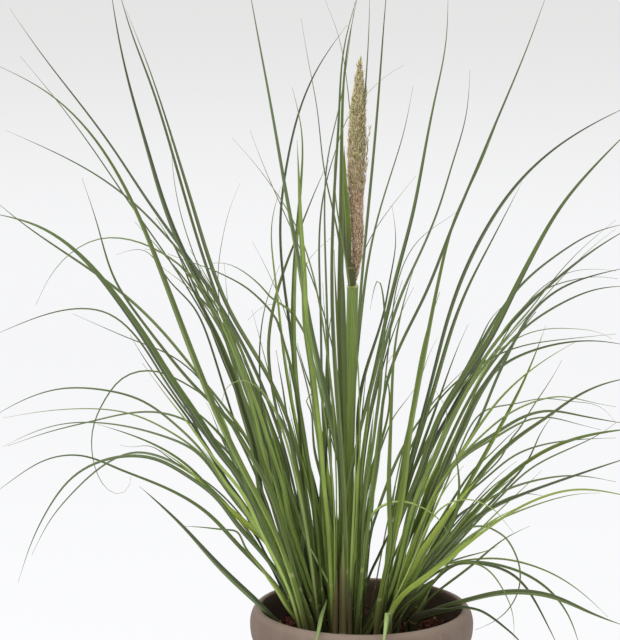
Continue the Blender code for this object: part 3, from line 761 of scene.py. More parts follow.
LOW_PALE_SHAPE = (0.60, 0.90, 0.95, 0.80, 0.62, 0.52, 0.45, 0.34, 0.12)
draw = np.random.default_rng(5)
not_leaves = ("pot", "soil", "flower_stalk", "plume")
leaf_nodes = sorted(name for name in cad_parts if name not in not_leaves)
courses = {}
for node in leaf_nodes:
    middles, reach = solid_course(node)
    courses[node] = smooth_course(rooted(middles), LEAF_STEPS)
    plain_look = (draw.uniform(0.06, 0.40), 0.15 * draw.random(), 0.5 * draw.random(), 0.8)
    tone, warm, grey, far = next((look for word, look in LOOKS.items() if word in node), plain_look)
    looks = {"tone": tone, "warm": warm, "grey": grey, "far": far, "tint": draw.random()}
    taper = next((value for word, value in TAPERS.items() if word in node), PLAIN_TAPER)
    shape = LOW_PALE_SHAPE if "low_pale" in node else None
    width = WIDTH_PER_REACH * reach.max()
    skin = grow_leaf(courses[node], width, LEAF_COLUMNS, looks, taper=taper, shape=shape)
    finish, slot = leaf_green, "leaf_green"
    if "olive" in node or "yellow" in node:
        finish, slot = leaf_olive, "leaf_olive"
    if "pale" in node:
        finish, slot = leaf_pale, "leaf_pale"
    add_piece(node + "_leaf", *skin, finish, slot, [node])
print(len(leaf_nodes), "leaves in place of their solids")

# %% [markdown]
# Between the broad leaves stand the wisps: narrow leaves a few millimetres wide that arch,
# loop and hook. Each course is a list of (column, row) points read off the front view, up
# to the tip. The clump is nested sheets, so a leaf's depth grows from its lane at the crown.

# %% Wisps: width in columns, tone, the course, and a lane where one leaf has to be in front
CROWN_COLUMN, CROWN_ROW = 350.0, 632.0
LANE_PITCH = 0.007           # between neighbouring sheets at the crown
SPREAD_GAIN, SPREAD_REACH, SPREAD_POWER = 5.2, 330.0, 1.5
COLUMN_SIZE = 0.001345       # metres per picture column at the planter's axis
ROOT_DEPTH = 0.004           # how far under the soil's top a read leaf begins
LOW_ROW = 595                # a course whose first point is lower than this shows its own foot
FEET_MIDDLE, FEET_HALF_WIDTH = 345.0, 50.0
FEET_SPREAD = 120.0          # columns over which the feet spread out to that half width

LEFT_WISPS = (
    (2.2, 0.20, ((300, 626), (283, 600), (268, 578), (255, 561), (245, 548), (240, 537), (236, 532),
                 (228, 530.5), (205, 528), (181, 526)), -6.8),
    (2.0, 0.35, ((200, 480), (165, 459), (135, 453), (105, 465), (75, 491), (50, 521), (32, 555))),
    (1.2, 0.45, ((200, 478), (170, 459), (148, 446), (130, 447), (120, 445))),
    (1.2, 0.80, ((225, 480), (195, 449), (165, 429), (130, 414), (80, 409), (40, 412), (3, 418))),
    (2.0, 0.35, ((230, 455), (190, 423), (165, 414), (135, 413), (95, 421), (50, 432), (8, 446))),
    (1.2, 0.55, ((215, 405), (178, 380), (150, 371), (125, 377), (105, 400), (94, 425), (92, 450),
                 (98, 475), (110, 491), (120, 494), (129, 486), (131, 476))),
    (1.5, 0.40, ((215, 400), (190, 370), (165, 353), (135, 341), (100, 326), (73, 314))),
    (2.0, 0.15, ((185, 415), (165, 388), (145, 360), (130, 335))),
    (1.5, 0.80, ((230, 330), (200, 285), (165, 255), (130, 240), (100, 239), (70, 254), (50, 277),
                 (36, 305))),
    (1.6, 0.40, ((200, 310), (170, 262), (127, 200), (100, 160), (60, 105), (20, 56))),
    (1.1, 0.45, ((205, 285), (190, 245), (179, 208), (172, 160), (171, 130))),
    (2.2, 0.15, ((300, 410), (290, 365), (282, 338), (277, 322), (270, 311), (260, 300), (250, 291),
                 (240, 284), (225, 276), (212, 270), (190, 262), (168, 254))),
    (2.6, 0.45, ((325, 385), (318, 362), (311, 346), (304, 333), (297, 321), (289, 311), (280, 304),
                 (272, 299), (263, 289), (255, 281), (245, 273), (235, 267), (225, 263.5), (210, 263.5))),
    (1.1, 0.50, ((232, 345), (228, 310), (226, 285), (224, 262))),
    (0.8, 0.60, ((225, 330), (218, 290), (223, 235), (230, 208), (240, 183))),
    (2.4, 0.85, ((285, 440), (268, 400), (255, 386), (240, 381), (228, 387), (222, 404)), -7.3),
    (1.6, 0.30, ((262, 400), (261, 335), (268, 297), (280, 265))),
    (1.6, 0.10, ((274, 470), (276, 446), (282, 432), (288, 424), (296, 415))),
    (3.5, 0.55, ((290, 585), (262, 530), (247, 488), (234, 455), (226, 428), (217, 408), (206, 387))),
    (3.0, 0.20, ((296, 560), (268, 480), (244, 400), (222, 330), (212, 290))),
    (2.6, 0.60, ((300, 560), (270, 470), (246, 390), (226, 320), (205, 275), (190, 250))),
    (3.2, 0.32, ((305, 540), (279, 465), (270, 440), (259, 402), (250, 375), (240, 350), (231, 330),
                 (222, 310), (212, 290), (200, 270))),
    (3.0, 0.08, ((303, 548), (292, 500), (284, 465), (277, 441), (272, 428), (266, 411), (261, 398),
                 (255, 384), (249, 372), (240, 354))),
    (1.6, 0.45, ((283, 560), (247, 490), (236, 468), (222, 440), (216, 425), (210, 410), (206, 402))),
    (2.0, 0.80, ((283, 570), (250, 500), (237, 473), (227, 456), (217, 444), (210, 437))),
    (3.5, 0.16, ((290, 590), (266, 530), (248, 492), (243, 478), (237, 465), (232, 456), (227, 446),
                 (221, 437), (210, 425), (198, 414), (187, 405), (178, 394)), -7.8),
    (3.0, 0.02, ((304, 606), (285, 568), (262, 533), (240, 500), (222, 475), (213, 461), (205, 447),
                 (197, 430), (189, 415), (181, 400)), -5.2),
    (4.0, 0.10, ((300, 560), (266, 470), (240, 400), (217, 345), (204, 312), (195, 290), (189, 276),
                 (178, 254), (165, 232), (156, 218))),
    (2.2, 0.15, ((240, 360), (215, 315), (195, 293), (180, 274), (165, 256), (150, 239), (135, 222))),
    (2.0, 0.35, ((240, 365), (218, 318), (193, 282), (175, 262), (158, 252), (145, 249))),
    (2.0, 0.60, ((240, 370), (215, 322), (193, 292), (175, 277), (158, 264))),
)
MIDDLE_WISPS = (
    (1.2, 0.45, ((345, 330), (336, 225), (324, 170), (317, 110), (308, 60), (301, 18))),
    (1.6, 0.25, ((329, 380), (327, 300), (325, 215), (328, 160), (340, 105), (350, 40), (355, 2))),
    (1.1, 0.55, ((337, 372), (320, 303), (288, 222), (262, 162), (250, 130))),
    (1.1, 0.55, ((322, 320), (290, 215), (270, 184), (250, 158), (232, 138))),
    (1.1, 0.55, ((310, 400), (290, 328), (268, 272), (252, 241))),
    (1.1, 0.50, ((290, 440), (272, 385), (260, 340), (252, 310))),
    (1.1, 0.55, ((322, 400), (303, 300), (308, 262), (325, 243), (336, 234))),
    (1.1, 0.55, ((325, 420), (300, 325), (287, 307), (268, 305), (248, 320))),
    (2.4, 0.02, ((326, 500), (319, 470), (315, 455), (312, 425), (308, 406), (306, 402), (312, 393),
                 (321, 383))),
    (1.3, 0.35, ((348, 300), (349, 105), (345, 70), (338, 35), (325, 0))),
    (2.0, 0.40, ((355, 300), (360, 180), (366, 85), (369, 30), (370, -20))),
    (1.1, 0.60, ((346, 260), (350, 115), (366, 95), (385, 77), (404, 65))),
    (1.1, 0.60, ((350, 330), (365, 250), (395, 202), (416, 176))),
    (4.0, 0.50, ((328, 580), (321, 480), (313, 392), (306, 330), (303, 270), (298, 190))),
    (3.0, 0.15, ((330, 580), (326, 500), (321, 440), (317, 412), (311, 390), (304, 370), (300, 355),
                 (297, 343))),
    (4.0, 0.30, ((342, 560), (341, 470), (339, 390), (337, 340), (335, 290), (334, 250))),
    (4.0, 0.02, ((346, 560), (345, 480), (343.5, 400), (342, 330), (341.5, 270), (342, 200))),
    (3.5, 0.70, ((335, 560), (328, 480), (318, 430), (313, 380), (308, 340))),
    (3.0, 0.60, ((362, 560), (360, 490), (363, 455), (367, 425), (370, 400), (373, 380), (377, 358))),
    (3.0, 0.25, ((366, 570), (371, 500), (376, 462), (380, 425), (384, 398), (388, 378))),
    (5.0, 0.00, ((322, 570), (323, 500), (324.5, 460), (325.5, 440), (326.5, 425), (328, 400), (328, 380),
                 (328.5, 345), (330, 325), (332, 313))),
    (3.5, 0.30, ((362, 560), (366, 495), (372, 472), (376, 461), (381, 449), (385, 438), (388, 431))),
    (2.2, -0.05, ((344, 520), (341, 482), (338, 465), (334, 450), (330, 434), (327, 420)), -4.3),
    (3.6, 0.08, ((303, 500), (299, 440), (296, 400), (292, 380), (288.5, 363), (285, 350), (281, 336),
                 (277, 325))),
    (2.6, 0.05, ((297, 470), (288, 425), (284.5, 405), (282.5, 390), (279.5, 372), (276, 350))),
)
RIGHT_WISPS = (
    (1.1, 0.50, ((392, 320), (404, 264), (420, 239), (445, 220), (458, 211))),
    (1.1, 0.55, ((410, 420), (423, 372), (430, 353), (437, 338))),
    (2.0, 0.85, ((362, 600), (364, 560), (368, 528), (376, 511), (388, 504), (402, 502), (420, 507),
                 (437, 518), (446, 530), (450, 540)), -7.4),
    (1.6, 0.40, ((368, 490), (374, 470), (380, 452), (388, 430), (394, 417), (405, 402), (416, 387))),
    (2.0, 0.30, ((381, 600), (385, 575), (388, 545), (389.5, 534), (390.5, 525), (392.5, 510),
                 (393.5, 500), (396, 486))),
    (1.5, 0.50, ((440, 440), (446, 408), (437, 393), (433, 386))),
    (1.1, 0.50, ((500, 345), (530, 310), (555, 278), (585, 246), (616, 220))),
    (1.1, 0.50, ((490, 360), (520, 325), (560, 280), (600, 241), (616, 229))),
    (1.1, 0.55, ((500, 345), (530, 300), (550, 282), (575, 271), (616, 271))),
    (2.0, 0.40, ((490, 350), (515, 318), (545, 290), (570, 281), (600, 277), (618, 279))),
    (1.2, 0.60, ((500, 350), (525, 335), (550, 329), (575, 329), (600, 333), (612, 339))),
    (1.5, 0.45, ((480, 365), (520, 347), (560, 340), (616, 334))),
    (1.6, 0.45, ((470, 490), (490, 470), (503, 455), (511, 440), (519, 430), (527, 417), (541, 395),
                 (552, 378), (562, 360))),
    (2.0, 0.85, ((450, 470), (480, 438), (508, 415), (535, 402), (560, 397), (590, 402), (616, 407))),
    (1.1, 0.65, ((460, 450), (485, 411), (515, 404), (540, 399), (575, 402), (600, 407), (616, 423))),
    (1.8, 0.25, ((462, 486), (474, 470), (490, 455), (505, 440), (515, 430.5), (525, 422))),
    (2.0, 0.40, ((455, 505), (488, 477), (515, 456), (560, 442), (616, 438))),
    (2.0, 0.45, ((470, 530), (500, 498), (530, 470), (570, 449), (600, 434), (616, 423))),
    (2.0, 0.45, ((470, 515), (505, 491), (535, 481), (575, 476), (616, 482))),
    (1.3, 0.50, ((480, 530), (515, 513), (545, 502), (580, 494), (600, 493))),
    (2.0, 0.55, ((465, 525), (495, 505), (525, 494), (547, 497))),
    (1.3, 0.50, ((490, 520), (512, 499), (528, 484), (542, 470))),
    (2.0, 0.12, ((480, 515), (508, 485), (530, 457), (540, 435), (556, 411))),
    (3.0, 0.08, ((412, 585), (432, 553), (440, 543.5), (448, 533), (453.3, 522), (456.7, 513),
                 (459.3, 497), (460, 487), (458.7, 470), (456, 452), (453, 440)), -7.0),
    (1.6, 0.90, ((420, 545), (438, 512), (447, 505), (465, 500), (475, 501), (485, 505), (495, 511),
                 (503, 520), (513, 532)), -7.6),
    (1.8, 0.35, ((440, 555), (465, 529), (475, 527), (485, 527), (495, 531), (505, 538), (513, 550),
                 (519, 567), (517, 593), (500, 617), (475, 630))),
    (1.6, 0.12, ((425, 605), (445, 586), (475, 563), (505, 539), (530, 526))),
    (1.3, 0.60, ((440, 567), (470, 560), (500, 559), (530, 565), (560, 578), (590, 600), (608, 617))),
    (2.0, 0.50, ((440, 567), (470, 556), (492, 549), (498, 546))),
    (1.1, 0.55, ((455, 563), (483, 567), (503, 590), (512, 612), (514, 640))),
    (3.8, 0.10, ((392, 590), (404, 540), (414.5, 500), (422, 472), (433, 447), (443, 427), (450, 415),
                 (458, 400), (465, 388), (472, 375), (478, 364), (483, 354), (489, 343), (494.5, 332),
                 (499, 320), (503.5, 310), (508, 299))),
    (3.5, 0.60, ((388, 580), (397, 510), (408, 440), (418, 380), (428, 330), (440, 292))),
    (4.4, 0.42, ((396, 580), (408, 530), (420, 492), (430, 470), (439, 450), (448, 430), (455, 416),
                 (463, 401), (471, 386), (478, 373), (484, 362), (490, 352), (497, 343), (503, 333),
                 (510, 323), (520, 311), (530, 300))),
    (3.4, 0.66, ((396, 590), (408, 535), (422, 495), (434, 474), (443, 455), (451, 438), (459, 421),
                 (467, 405), (475, 390), (483, 374), (491, 362), (499, 350), (507, 338), (514, 328),
                 (522, 318), (531, 308))),
    (5.4, 0.06, ((400, 590), (416, 540), (432, 500), (441, 479), (450, 460), (456, 444), (463, 430),
                 (470, 414), (478, 398), (487, 383), (496, 370), (505, 357), (513, 345), (520, 334),
                 (528, 322), (536, 312))),
    (3.0, 0.50, ((408, 590), (440, 550), (468, 519), (495, 493), (520, 472))),
    (3.5, 0.85, ((398, 605), (425, 580), (453, 553), (480, 531), (500, 517), (515, 509))),
    (3.0, 0.25, ((388, 600), (400, 555), (414, 505), (430, 455), (438, 430))),
    (3.2, 0.04, ((386, 585), (393, 545), (399, 512), (410.5, 479), (414, 470), (418.5, 460), (424, 449),
                 (430, 438), (436, 426), (443, 412), (450, 400), (457, 388), (464, 374), (470, 362),
                 (478, 346), (484, 333), (490, 321), (497, 312), (506, 304))),
    (2.6, 0.35, ((356, 560), (372, 470), (388, 381), (386, 370), (389, 361), (393, 355))),
)
print(len(LEFT_WISPS), "left,", len(MIDDLE_WISPS), "middle and", len(RIGHT_WISPS), "right wisps read")

# %% [markdown]
# A picture gives a leaf's columns and rows but no depth. The depth comes from the leaf's lane,
# and its foot is put into the soil, so that from any side it stands on what carries it.

# %% Depths and feet
def lane_depth(lane, column, row):
    """Depth of a leaf's sheet: lane pitch times a gain that grows with reach, up to 6.2."""
    reach = np.hypot(column - CROWN_COLUMN, row - CROWN_ROW) / SPREAD_REACH
    return lane * LANE_PITCH * (1.0 + SPREAD_GAIN * (1.0 - np.exp(-reach ** SPREAD_POWER)))


def soil_point(column, depth):
    """The point just under the soil's surface, at this depth, that shows in this column."""
    height = SOIL_TOP - ROOT_DEPTH
    forwards = ((depth - VIEW_EYE[1]) * math.cos(VIEW_TILT)
                + (VIEW_EYE[2] - height) * math.sin(VIEW_TILT))
    return [VIEW_EYE[0] + forwards * (column - VIEW_COLUMNS / 2) / VIEW_FOCAL, depth, height]


def foot_column(columns, rows):
    """Column of a leaf's foot. Its lowest stretch runs on downwards when it is seen that low;
    otherwise the foot is where the clump's narrow crown would have it."""
    if rows[0] > LOW_ROW:
        return columns[0] + 0.45 * (columns[0] - columns[1])
    return FEET_MIDDLE + FEET_HALF_WIDTH * math.tanh((columns[0] - CROWN_COLUMN) / FEET_SPREAD)


def seen_course(points, lane, steps):
    """A course in space from its seen points, with the foot on the soil put before them."""
    columns, rows = np.array(points, float).T
    foot = soil_point(foot_column(columns, rows), lane * LANE_PITCH)
    seen = sight(columns, rows, lane_depth(lane, columns, rows))
    return smooth_course(np.vstack([foot, seen]), steps)


# %% [markdown]
# A wisp that has no lane of its own takes one by the golden ratio, which spreads neighbours in
# the table far apart in depth. The finest wisps are made darker and greyer, which is how they
# look against white. A leaf turns partly edge-on, so its width is the seen one over a share.

# %% Wisps as three joined pieces
GOLDEN = 0.618034
LANES = 14.0                 # from the first lane to the last
WISP_STEPS = 60
WISP_COLUMNS = 5
WISP_SHOWING = 0.66          # share of a wisp's width that shows from the front
WISP_EDGE = 0.35             # columns added to a wisp's read width
FINE_WIDTH = 2.5
WISP_LIFT = {"left_wisps": 0.0, "middle_wisps": 0.12, "right_wisps": 0.05}
draw = np.random.default_rng(8)
for name, wisps in (("left_wisps", LEFT_WISPS), ("middle_wisps", MIDDLE_WISPS),
                    ("right_wisps", RIGHT_WISPS)):
    skins = []
    for number, (width, tone, points, *own_lane) in enumerate(wisps):
        lane = own_lane[0] if own_lane else LANES * ((number * GOLDEN + 0.31) % 1.0) - LANES / 2.0
        course = seen_course(points, lane, WISP_STEPS)
        fine = width < FINE_WIDTH
        looks = {"tone": (0.55 if fine else 1.0) * tone + WISP_LIFT[name],
                 "warm": 0.25 * draw.random() ** 2,
                 "grey": (0.75 if fine else 0.3) * draw.random(), "tint": draw.random()}
        skins.append(grow_leaf(course, (width + WISP_EDGE) * COLUMN_SIZE / WISP_SHOWING,
                               WISP_COLUMNS, looks, taper=3.4, least=0.14))
    add_piece(name, *join(skins), leaf_green, "leaf_green")
    print(name, len(wisps), "leaves")

# %% [markdown]
# Down at the crown the leaves are at their broadest, and neighbours differ most: a black-green
# one beside a grey one beside one that catches the light. These were read one by one as well.

# %% Crown leaves: width in columns, tone, warmth, grey bloom, lane, course
CROWN_LEAVES = (
    (6.5, 0.50, 0.60, 0.00, -5.0, ((308, 618), (300, 604), (293.7, 590), (289.7, 580), (285.7, 570),
                                   (281.7, 559), (276.3, 550), (271, 540), (266.3, 527), (261.7, 515),
                                   (256.3, 503), (252.3, 493), (247, 480), (241, 468))),
    (4.5, 0.80, 0.40, 0.10, -6.4, ((298, 611), (290, 595), (286.3, 583), (281.7, 574), (277, 563),
                                   (273.7, 553), (267, 545), (259.7, 535), (251.7, 527), (243, 519))),
    (4.5, 0.55, 0.35, 0.20, -6.9, ((300, 626), (290, 611), (283, 600), (277, 590), (268, 578),
                                   (259, 566), (250, 556), (243, 547))),
    (2.8, 0.15, 0.00, 0.50, -4.6, ((290, 592), (278, 565), (264.3, 533), (254.3, 511), (248.3, 498),
                                   (241.7, 487), (235, 477), (226, 463))),
    (5.2, -0.05, 0.10, 0.00, -3.6, ((300, 600), (288, 573), (281, 556), (276, 545), (271.5, 532),
                                    (267, 518), (263.7, 507), (260.3, 495), (258.3, 481), (255, 462),
                                    (250.5, 440), (244.5, 420), (238.5, 400), (232.5, 380),
                                    (224.5, 360), (216.5, 340), (207.5, 320), (197, 300), (188, 280),
                                    (181, 262), (172, 243))),
    (6.2, 0.06, 0.15, 0.05, -2.6, ((303, 606), (296, 590), (292.5, 580), (289, 570), (285.5, 560),
                                   (283.3, 548), (280.8, 533), (276.3, 515), (272.3, 503), (267, 488),
                                   (261, 465), (255, 440), (249, 418), (243, 400), (237, 385),
                                   (231, 370), (224, 352), (217, 335), (209, 318), (202, 303))),
    (4.8, 0.58, 0.12, 0.15, -4.0, ((316, 612), (311, 602), (305.7, 590), (303, 580), (299, 570),
                                   (295, 560), (290.3, 545), (286.3, 534), (281.7, 521), (277, 508),
                                   (272, 494), (266, 470), (260, 443), (255, 420), (250, 402),
                                   (245.5, 385), (239.5, 370), (233, 353), (227, 338), (220, 322),
                                   (212, 307), (204, 293))),
    (4.6, 0.36, 0.12, 0.15, -4.8, ((316, 603), (308.3, 583), (304.3, 570), (300.3, 559), (297, 550),
                                   (293.7, 539), (289.7, 527), (286.3, 515), (284.3, 503), (281, 485),
                                   (276, 468), (269, 447), (263, 428), (258, 412), (252.5, 397),
                                   (247, 382), (242, 368), (236, 353), (231, 340), (224, 323),
                                   (216, 305), (210, 290))),
    (3.5, 0.66, 0.15, 0.05, -5.6, ((290, 560), (284, 520), (281, 507), (278.3, 497), (274.3, 483),
                                   (269.7, 470), (264, 452))),
    (5.0, 0.05, 0.15, 0.00, -1.5, ((318, 600), (310, 575), (303, 550), (299.5, 540), (296, 530),
                                   (293.3, 520), (289.3, 508), (286, 498), (284, 488), (282, 475),
                                   (280, 462), (275, 445), (269, 425), (263, 408), (258, 397),
                                   (253, 384), (248, 370), (242, 356))),
    (3.0, 0.00, 0.10, 0.00, -2.0, ((303, 548), (299, 528), (295.5, 512), (292, 495), (289, 478),
                                   (286, 462), (283, 447))),
    (4.6, 0.42, 0.00, 0.95, -2.8, ((300.3, 552), (301.7, 543), (301.7, 530), (301, 517), (299.7, 500),
                                   (297.5, 482), (294.5, 465), (291.5, 450), (288, 437), (283, 425),
                                   (276, 413), (269, 403), (261, 392), (252, 378), (244, 363))),
    (9.5, -0.05, 0.00, 0.00, -1.2, ((327, 612), (321, 592), (316.3, 580), (312.3, 567), (307, 553),
                                    (302.5, 541), (300, 530), (297, 515), (288, 496), (282, 478),
                                    (278, 462))),
    (2.6, 0.50, 0.00, 0.80, -6.0, ((333, 600), (330.3, 590), (325.7, 579), (321, 570), (315, 558),
                                   (309, 547), (303.7, 535), (299, 522))),
    (5.0, 0.30, 0.20, 0.10, 1.8, ((330, 600), (325, 575), (321.5, 550), (319.2, 533), (316.3, 517),
                                  (311.7, 500), (308.3, 483), (304, 465), (299, 445))),
    (6.0, 0.52, 0.12, 0.10, -7.3, ((304, 606), (285, 572), (270, 548), (257, 530), (250, 520),
                                   (238, 501), (230, 491), (220, 476), (212, 463), (203, 449))),
    (4.5, 0.05, 0.00, 0.20, 3.2, ((330, 600), (326, 560), (321, 523), (316, 496), (310, 470),
                                  (304, 450), (297, 428))),
    (6.5, 0.38, 0.30, 0.00, -5.2, ((333, 618), (331, 573), (329, 540), (324, 507), (321, 473),
                                   (317, 440), (312, 400), (308, 360))),
    (4.5, 0.02, 0.35, 0.00, -4.4, ((347, 615), (347, 560), (348, 515), (349, 480), (347, 440), (346, 400))),
    (5.5, 0.70, 0.30, 0.10, -5.0, ((355, 613), (356, 573), (357, 530), (358, 500), (359, 470),
                                   (361, 440))),
    (6.0, 0.46, 0.05, 0.45, -2.2, ((360, 613), (360, 575), (362, 535), (365, 500), (368, 470),
                                   (371, 440), (374, 410))),
    (4.4, 0.10, 0.00, 0.30, 1.2, ((357, 602), (361, 560), (367, 520), (373, 488), (378, 460), (382, 425))),
    (2.6, 0.08, 0.00, 0.40, -1.0, ((381, 604), (383, 585), (388, 568), (394.7, 556), (400, 544),
                                   (403.3, 535), (406.7, 525), (411.3, 510), (415.5, 496),
                                   (419, 484), (424, 470))),
    (6.2, 0.35, 0.10, 0.35, -3.0, ((388.5, 592), (392.5, 580), (396.3, 570), (401.7, 550),
                                   (407.7, 530), (411.5, 520), (417, 500), (423.5, 480), (428, 466),
                                   (434, 450))),
    (7.5, 0.00, 0.15, 0.00, -2.3, ((395, 578), (400.5, 561), (406, 545), (410, 538), (415, 529),
                                   (420, 519), (423.5, 508), (427, 497), (432, 482), (438, 468),
                                   (447, 450))),
    (6.0, 0.40, 0.60, 0.00, -3.6, ((398, 592), (403, 580), (406.5, 570), (411.5, 560), (415.5, 550),
                                   (419, 540), (422.5, 530), (426, 520), (430, 511), (437, 497),
                                   (445, 483))),
    (7.6, 0.66, 0.70, 0.00, -4.7, ((397, 603), (404, 590), (409, 580), (414.5, 570), (419, 561),
                                   (424, 552), (431, 542), (437, 533), (444, 523), (450, 514),
                                   (457, 505), (466, 494), (478, 478))),
    (3.8, 0.05, 0.00, 0.50, -5.0, ((428, 560), (436, 548), (447, 532), (455.5, 519.5), (467, 510),
                                   (480, 501.5), (500, 489))),
    (2.8, 0.00, 0.10, 0.20, -5.3, ((418, 582), (430.7, 566), (436.7, 560.7), (444, 551.3),
                                   (453.3, 542), (466.7, 530.7), (480, 519), (492, 509))),
    (4.4, 0.45, 0.10, 0.50, -6.1, ((397, 610), (410, 592), (420, 580.7), (426.7, 576), (433.3, 570),
                                   (440, 563.3), (452, 552))),
    (2.4, 0.10, 0.10, 0.20, 3.0, ((365, 593), (370.5, 574), (377, 560), (384, 545), (388, 537),
                                  (391.3, 530), (394, 523.5), (397.3, 516.7), (400, 508),
                                  (402.5, 497), (406, 480))),
    (1.6, 0.30, 0.00, 0.70, 1.9, ((360, 602), (364, 578), (367.5, 560), (370, 545), (373.5, 527),
                                  (376, 515))),
    (8.0, -0.02, 0.10, 0.00, -6.6, ((392, 624), (396, 616), (405, 605), (418, 595), (427, 586),
                                    (436, 578))),
    (5.0, 0.00, 0.10, 0.00, -3.3, ((399, 624), (404, 619), (412, 608), (422, 594), (430, 584))),
    (2.2, 0.85, 0.10, 0.50, -6.9, ((383, 604), (386, 575), (393, 555), (398, 545))),
)
CROWN_LIFT = 0.07            # added to every tone
CROWN_SHOWING = 0.72
skins = []
draw = np.random.default_rng(31)
for width, tone, warm, grey, lane, points in CROWN_LEAVES:
    course = seen_course(points, lane, WISP_STEPS)
    looks = {"tone": tone + CROWN_LIFT, "warm": warm, "grey": grey, "tint": draw.random()}
    skins.append(grow_leaf(course, width * COLUMN_SIZE / CROWN_SHOWING, LEAF_COLUMNS, looks, taper=3.0))
add_piece("crown_leaves", *join(skins), leaf_green, "leaf_green")
print(len(CROWN_LEAVES), "crown leaves")

# %% [markdown]
# Two leaves leave the crown low and hang over the rim. One is a dark, wide leaf whose blade
# narrows all at once where it passes the rim. The other is thin and pale, and widens as it hangs
# down in front of the planter, so its points carry their own depths.

# %% Leaves over the rim
WIDE_DARK = ((418, 620), (430, 616), (440, 613), (450, 611), (459, 608), (470, 608.5), (480, 611),
             (490, 616.5), (505, 628), (518, 640), (527, 652))
WIDE_DARK_SHAPE = (0.70, 1.00, 1.00, 0.34, 0.25, 0.22, 0.18, 0.06)
HANGING = ((328, 602, -0.030), (325, 607, -0.080), (322, 615, -0.112), (320, 624, -0.134),
           (318, 633, -0.149), (316, 641, -0.1565), (314, 655, -0.1600))
HANGING_SHAPE = (0.25, 0.32, 0.38, 0.50, 0.70, 0.95, 0.90, 0.40)
look = {"tone": 0.02, "warm": 0.05, "grey": 0.10, "far": 0.2, "tint": 0.3}
course = seen_course(WIDE_DARK, -3.0, WISP_STEPS)
wide_dark = grow_leaf(course, 10.5 * COLUMN_SIZE / 0.80, LEAF_COLUMNS, look, shape=WIDE_DARK_SHAPE)
columns, rows, depths = np.array(HANGING).T
foot = soil_point(columns[0], -0.022)
course = smooth_course(np.vstack([foot, sight(columns, rows, depths)]), WISP_STEPS)
look = {"tone": 0.66, "warm": 0.10, "grey": 0.90, "far": 0.0, "tint": 0.8}
hanging = grow_leaf(course, 5.0 * COLUMN_SIZE, WISP_COLUMNS, look, showing=0.95, shape=HANGING_SHAPE)
add_piece("leaves_over_the_rim", *join([wide_dark, hanging]), leaf_pale, "leaf_pale")

# %% [markdown]
# Beside most of the broad leaves stands a younger one from the same shoot. It follows the same
# course for a while, then leans away by a few degrees and ends sooner. As a variation of a
# known course it keeps the clump's own grain, where leaves scattered freely would look combed.
# Leaves that lie alone against the background, by the words below, get none.

# %% Leaning away from a seen course
YOUNG_STEPS = 40
LONE_WORDS = ("low", "droop", "bent", "curled", "folded", "over_rim", "upturned", "mid_dark", "yellow",
              "swan", "short", "hooked", "wavy", "flat", "wide_arch", "round", "arch_lower")
YOUNG_WIDTHS = (0.0036, 0.0070)
RIM_CLEARANCE = 0.003
BARE_SOIL = (0.002, 0.024)   # no leaf stands on the soil between these two places along x


def lean_away(course, random):
    """A shorter neighbour of a course: its first part, moved at the foot and leaning away.

    The shift grows as length times share^1.3 times the tangent of two small angles, one in the
    picture and one in depth, and the tip droops with the cube of the share.
    """
    travel = np.linalg.norm(np.diff(course, axis=0), axis=1).sum()
    length = min(random.uniform(0.20, 0.56), 0.92 * travel)
    kept = np.linspace(0.0, length / travel * (len(course) - 1), YOUNG_STEPS)
    steps = np.arange(len(course))
    young = np.stack([np.interp(kept, steps, course[:, axis]) for axis in range(3)], axis=1)
    ahead = unit(np.gradient(young, axis=0))
    aside = unit(np.cross(ahead, young - VIEW_EYE))
    share = np.linspace(0.0, 1.0, YOUNG_STEPS)[:, None]
    swing = length * share ** 1.3
    young = young + aside * swing * math.tan(math.radians(random.normal(0.0, 1.6)))
    young = young + [0.0, 1.0, 0.0] * swing * math.tan(math.radians(random.normal(0.0, 7.0)))
    young = young + [random.uniform(-0.004, 0.004), random.uniform(-0.014, 0.014), 0.0]
    droop = [0.0, 0.0, -1.0] * share ** 3 * length * random.uniform(0.0, 0.06)
    return young + droop


def stays_clear(course):
    """Whether a course keeps inside the solids' box and off the planter's wall."""
    low, high = (np.array(corner) for corner in SOLID_BOX)
    inside = (course > low).all() and (course < high).all()
    near = course[:, 2] < POT_HEIGHT + RIM_CLEARANCE
    over_soil = near & (course[:, 0] > BARE_SOIL[0]) & (course[:, 0] < BARE_SOIL[1])
    outside = near & (np.hypot(*course.T[:2]) > MOUTH_RADIUS - RIM_CLEARANCE)
    return inside and not (outside | over_soil).any()


# %% Younger leaves as three joined pieces
draw = np.random.default_rng(17)
for side in ("left", "middle", "right"):
    skins = []
    for node in (name for name in leaf_nodes if name.startswith(side)):
        if any(word in node for word in LONE_WORDS):
            continue
        course = lean_away(courses[node], draw)
        looks = {"tone": draw.choice([0.0, 0.1, 0.25, 0.45, 0.75]) + draw.uniform(-0.05, 0.05),
                 "warm": 0.5 * draw.random() ** 2, "grey": 0.8 * draw.random() ** 2,
                 "tint": draw.random()}
        width = draw.uniform(*YOUNG_WIDTHS)
        if stays_clear(course):
            skins.append(grow_leaf(course, width, WISP_COLUMNS, looks, least=0.12))
    add_piece(f"{side}_young_leaves", *join(skins), leaf_green, "leaf_green")
    print(side, len(skins), "younger leaves")

# %% [markdown]
# ## Shoots and the flowering stalk
# Every few leaves share a shoot: sheaths wrapped round each other. A shoot is a tube whose
# radius winds outwards once round, like a rolled sheet, so that one free edge shows as a step
# along it. A plain tube would have no such edge. The flowering stalk is the tallest of them.

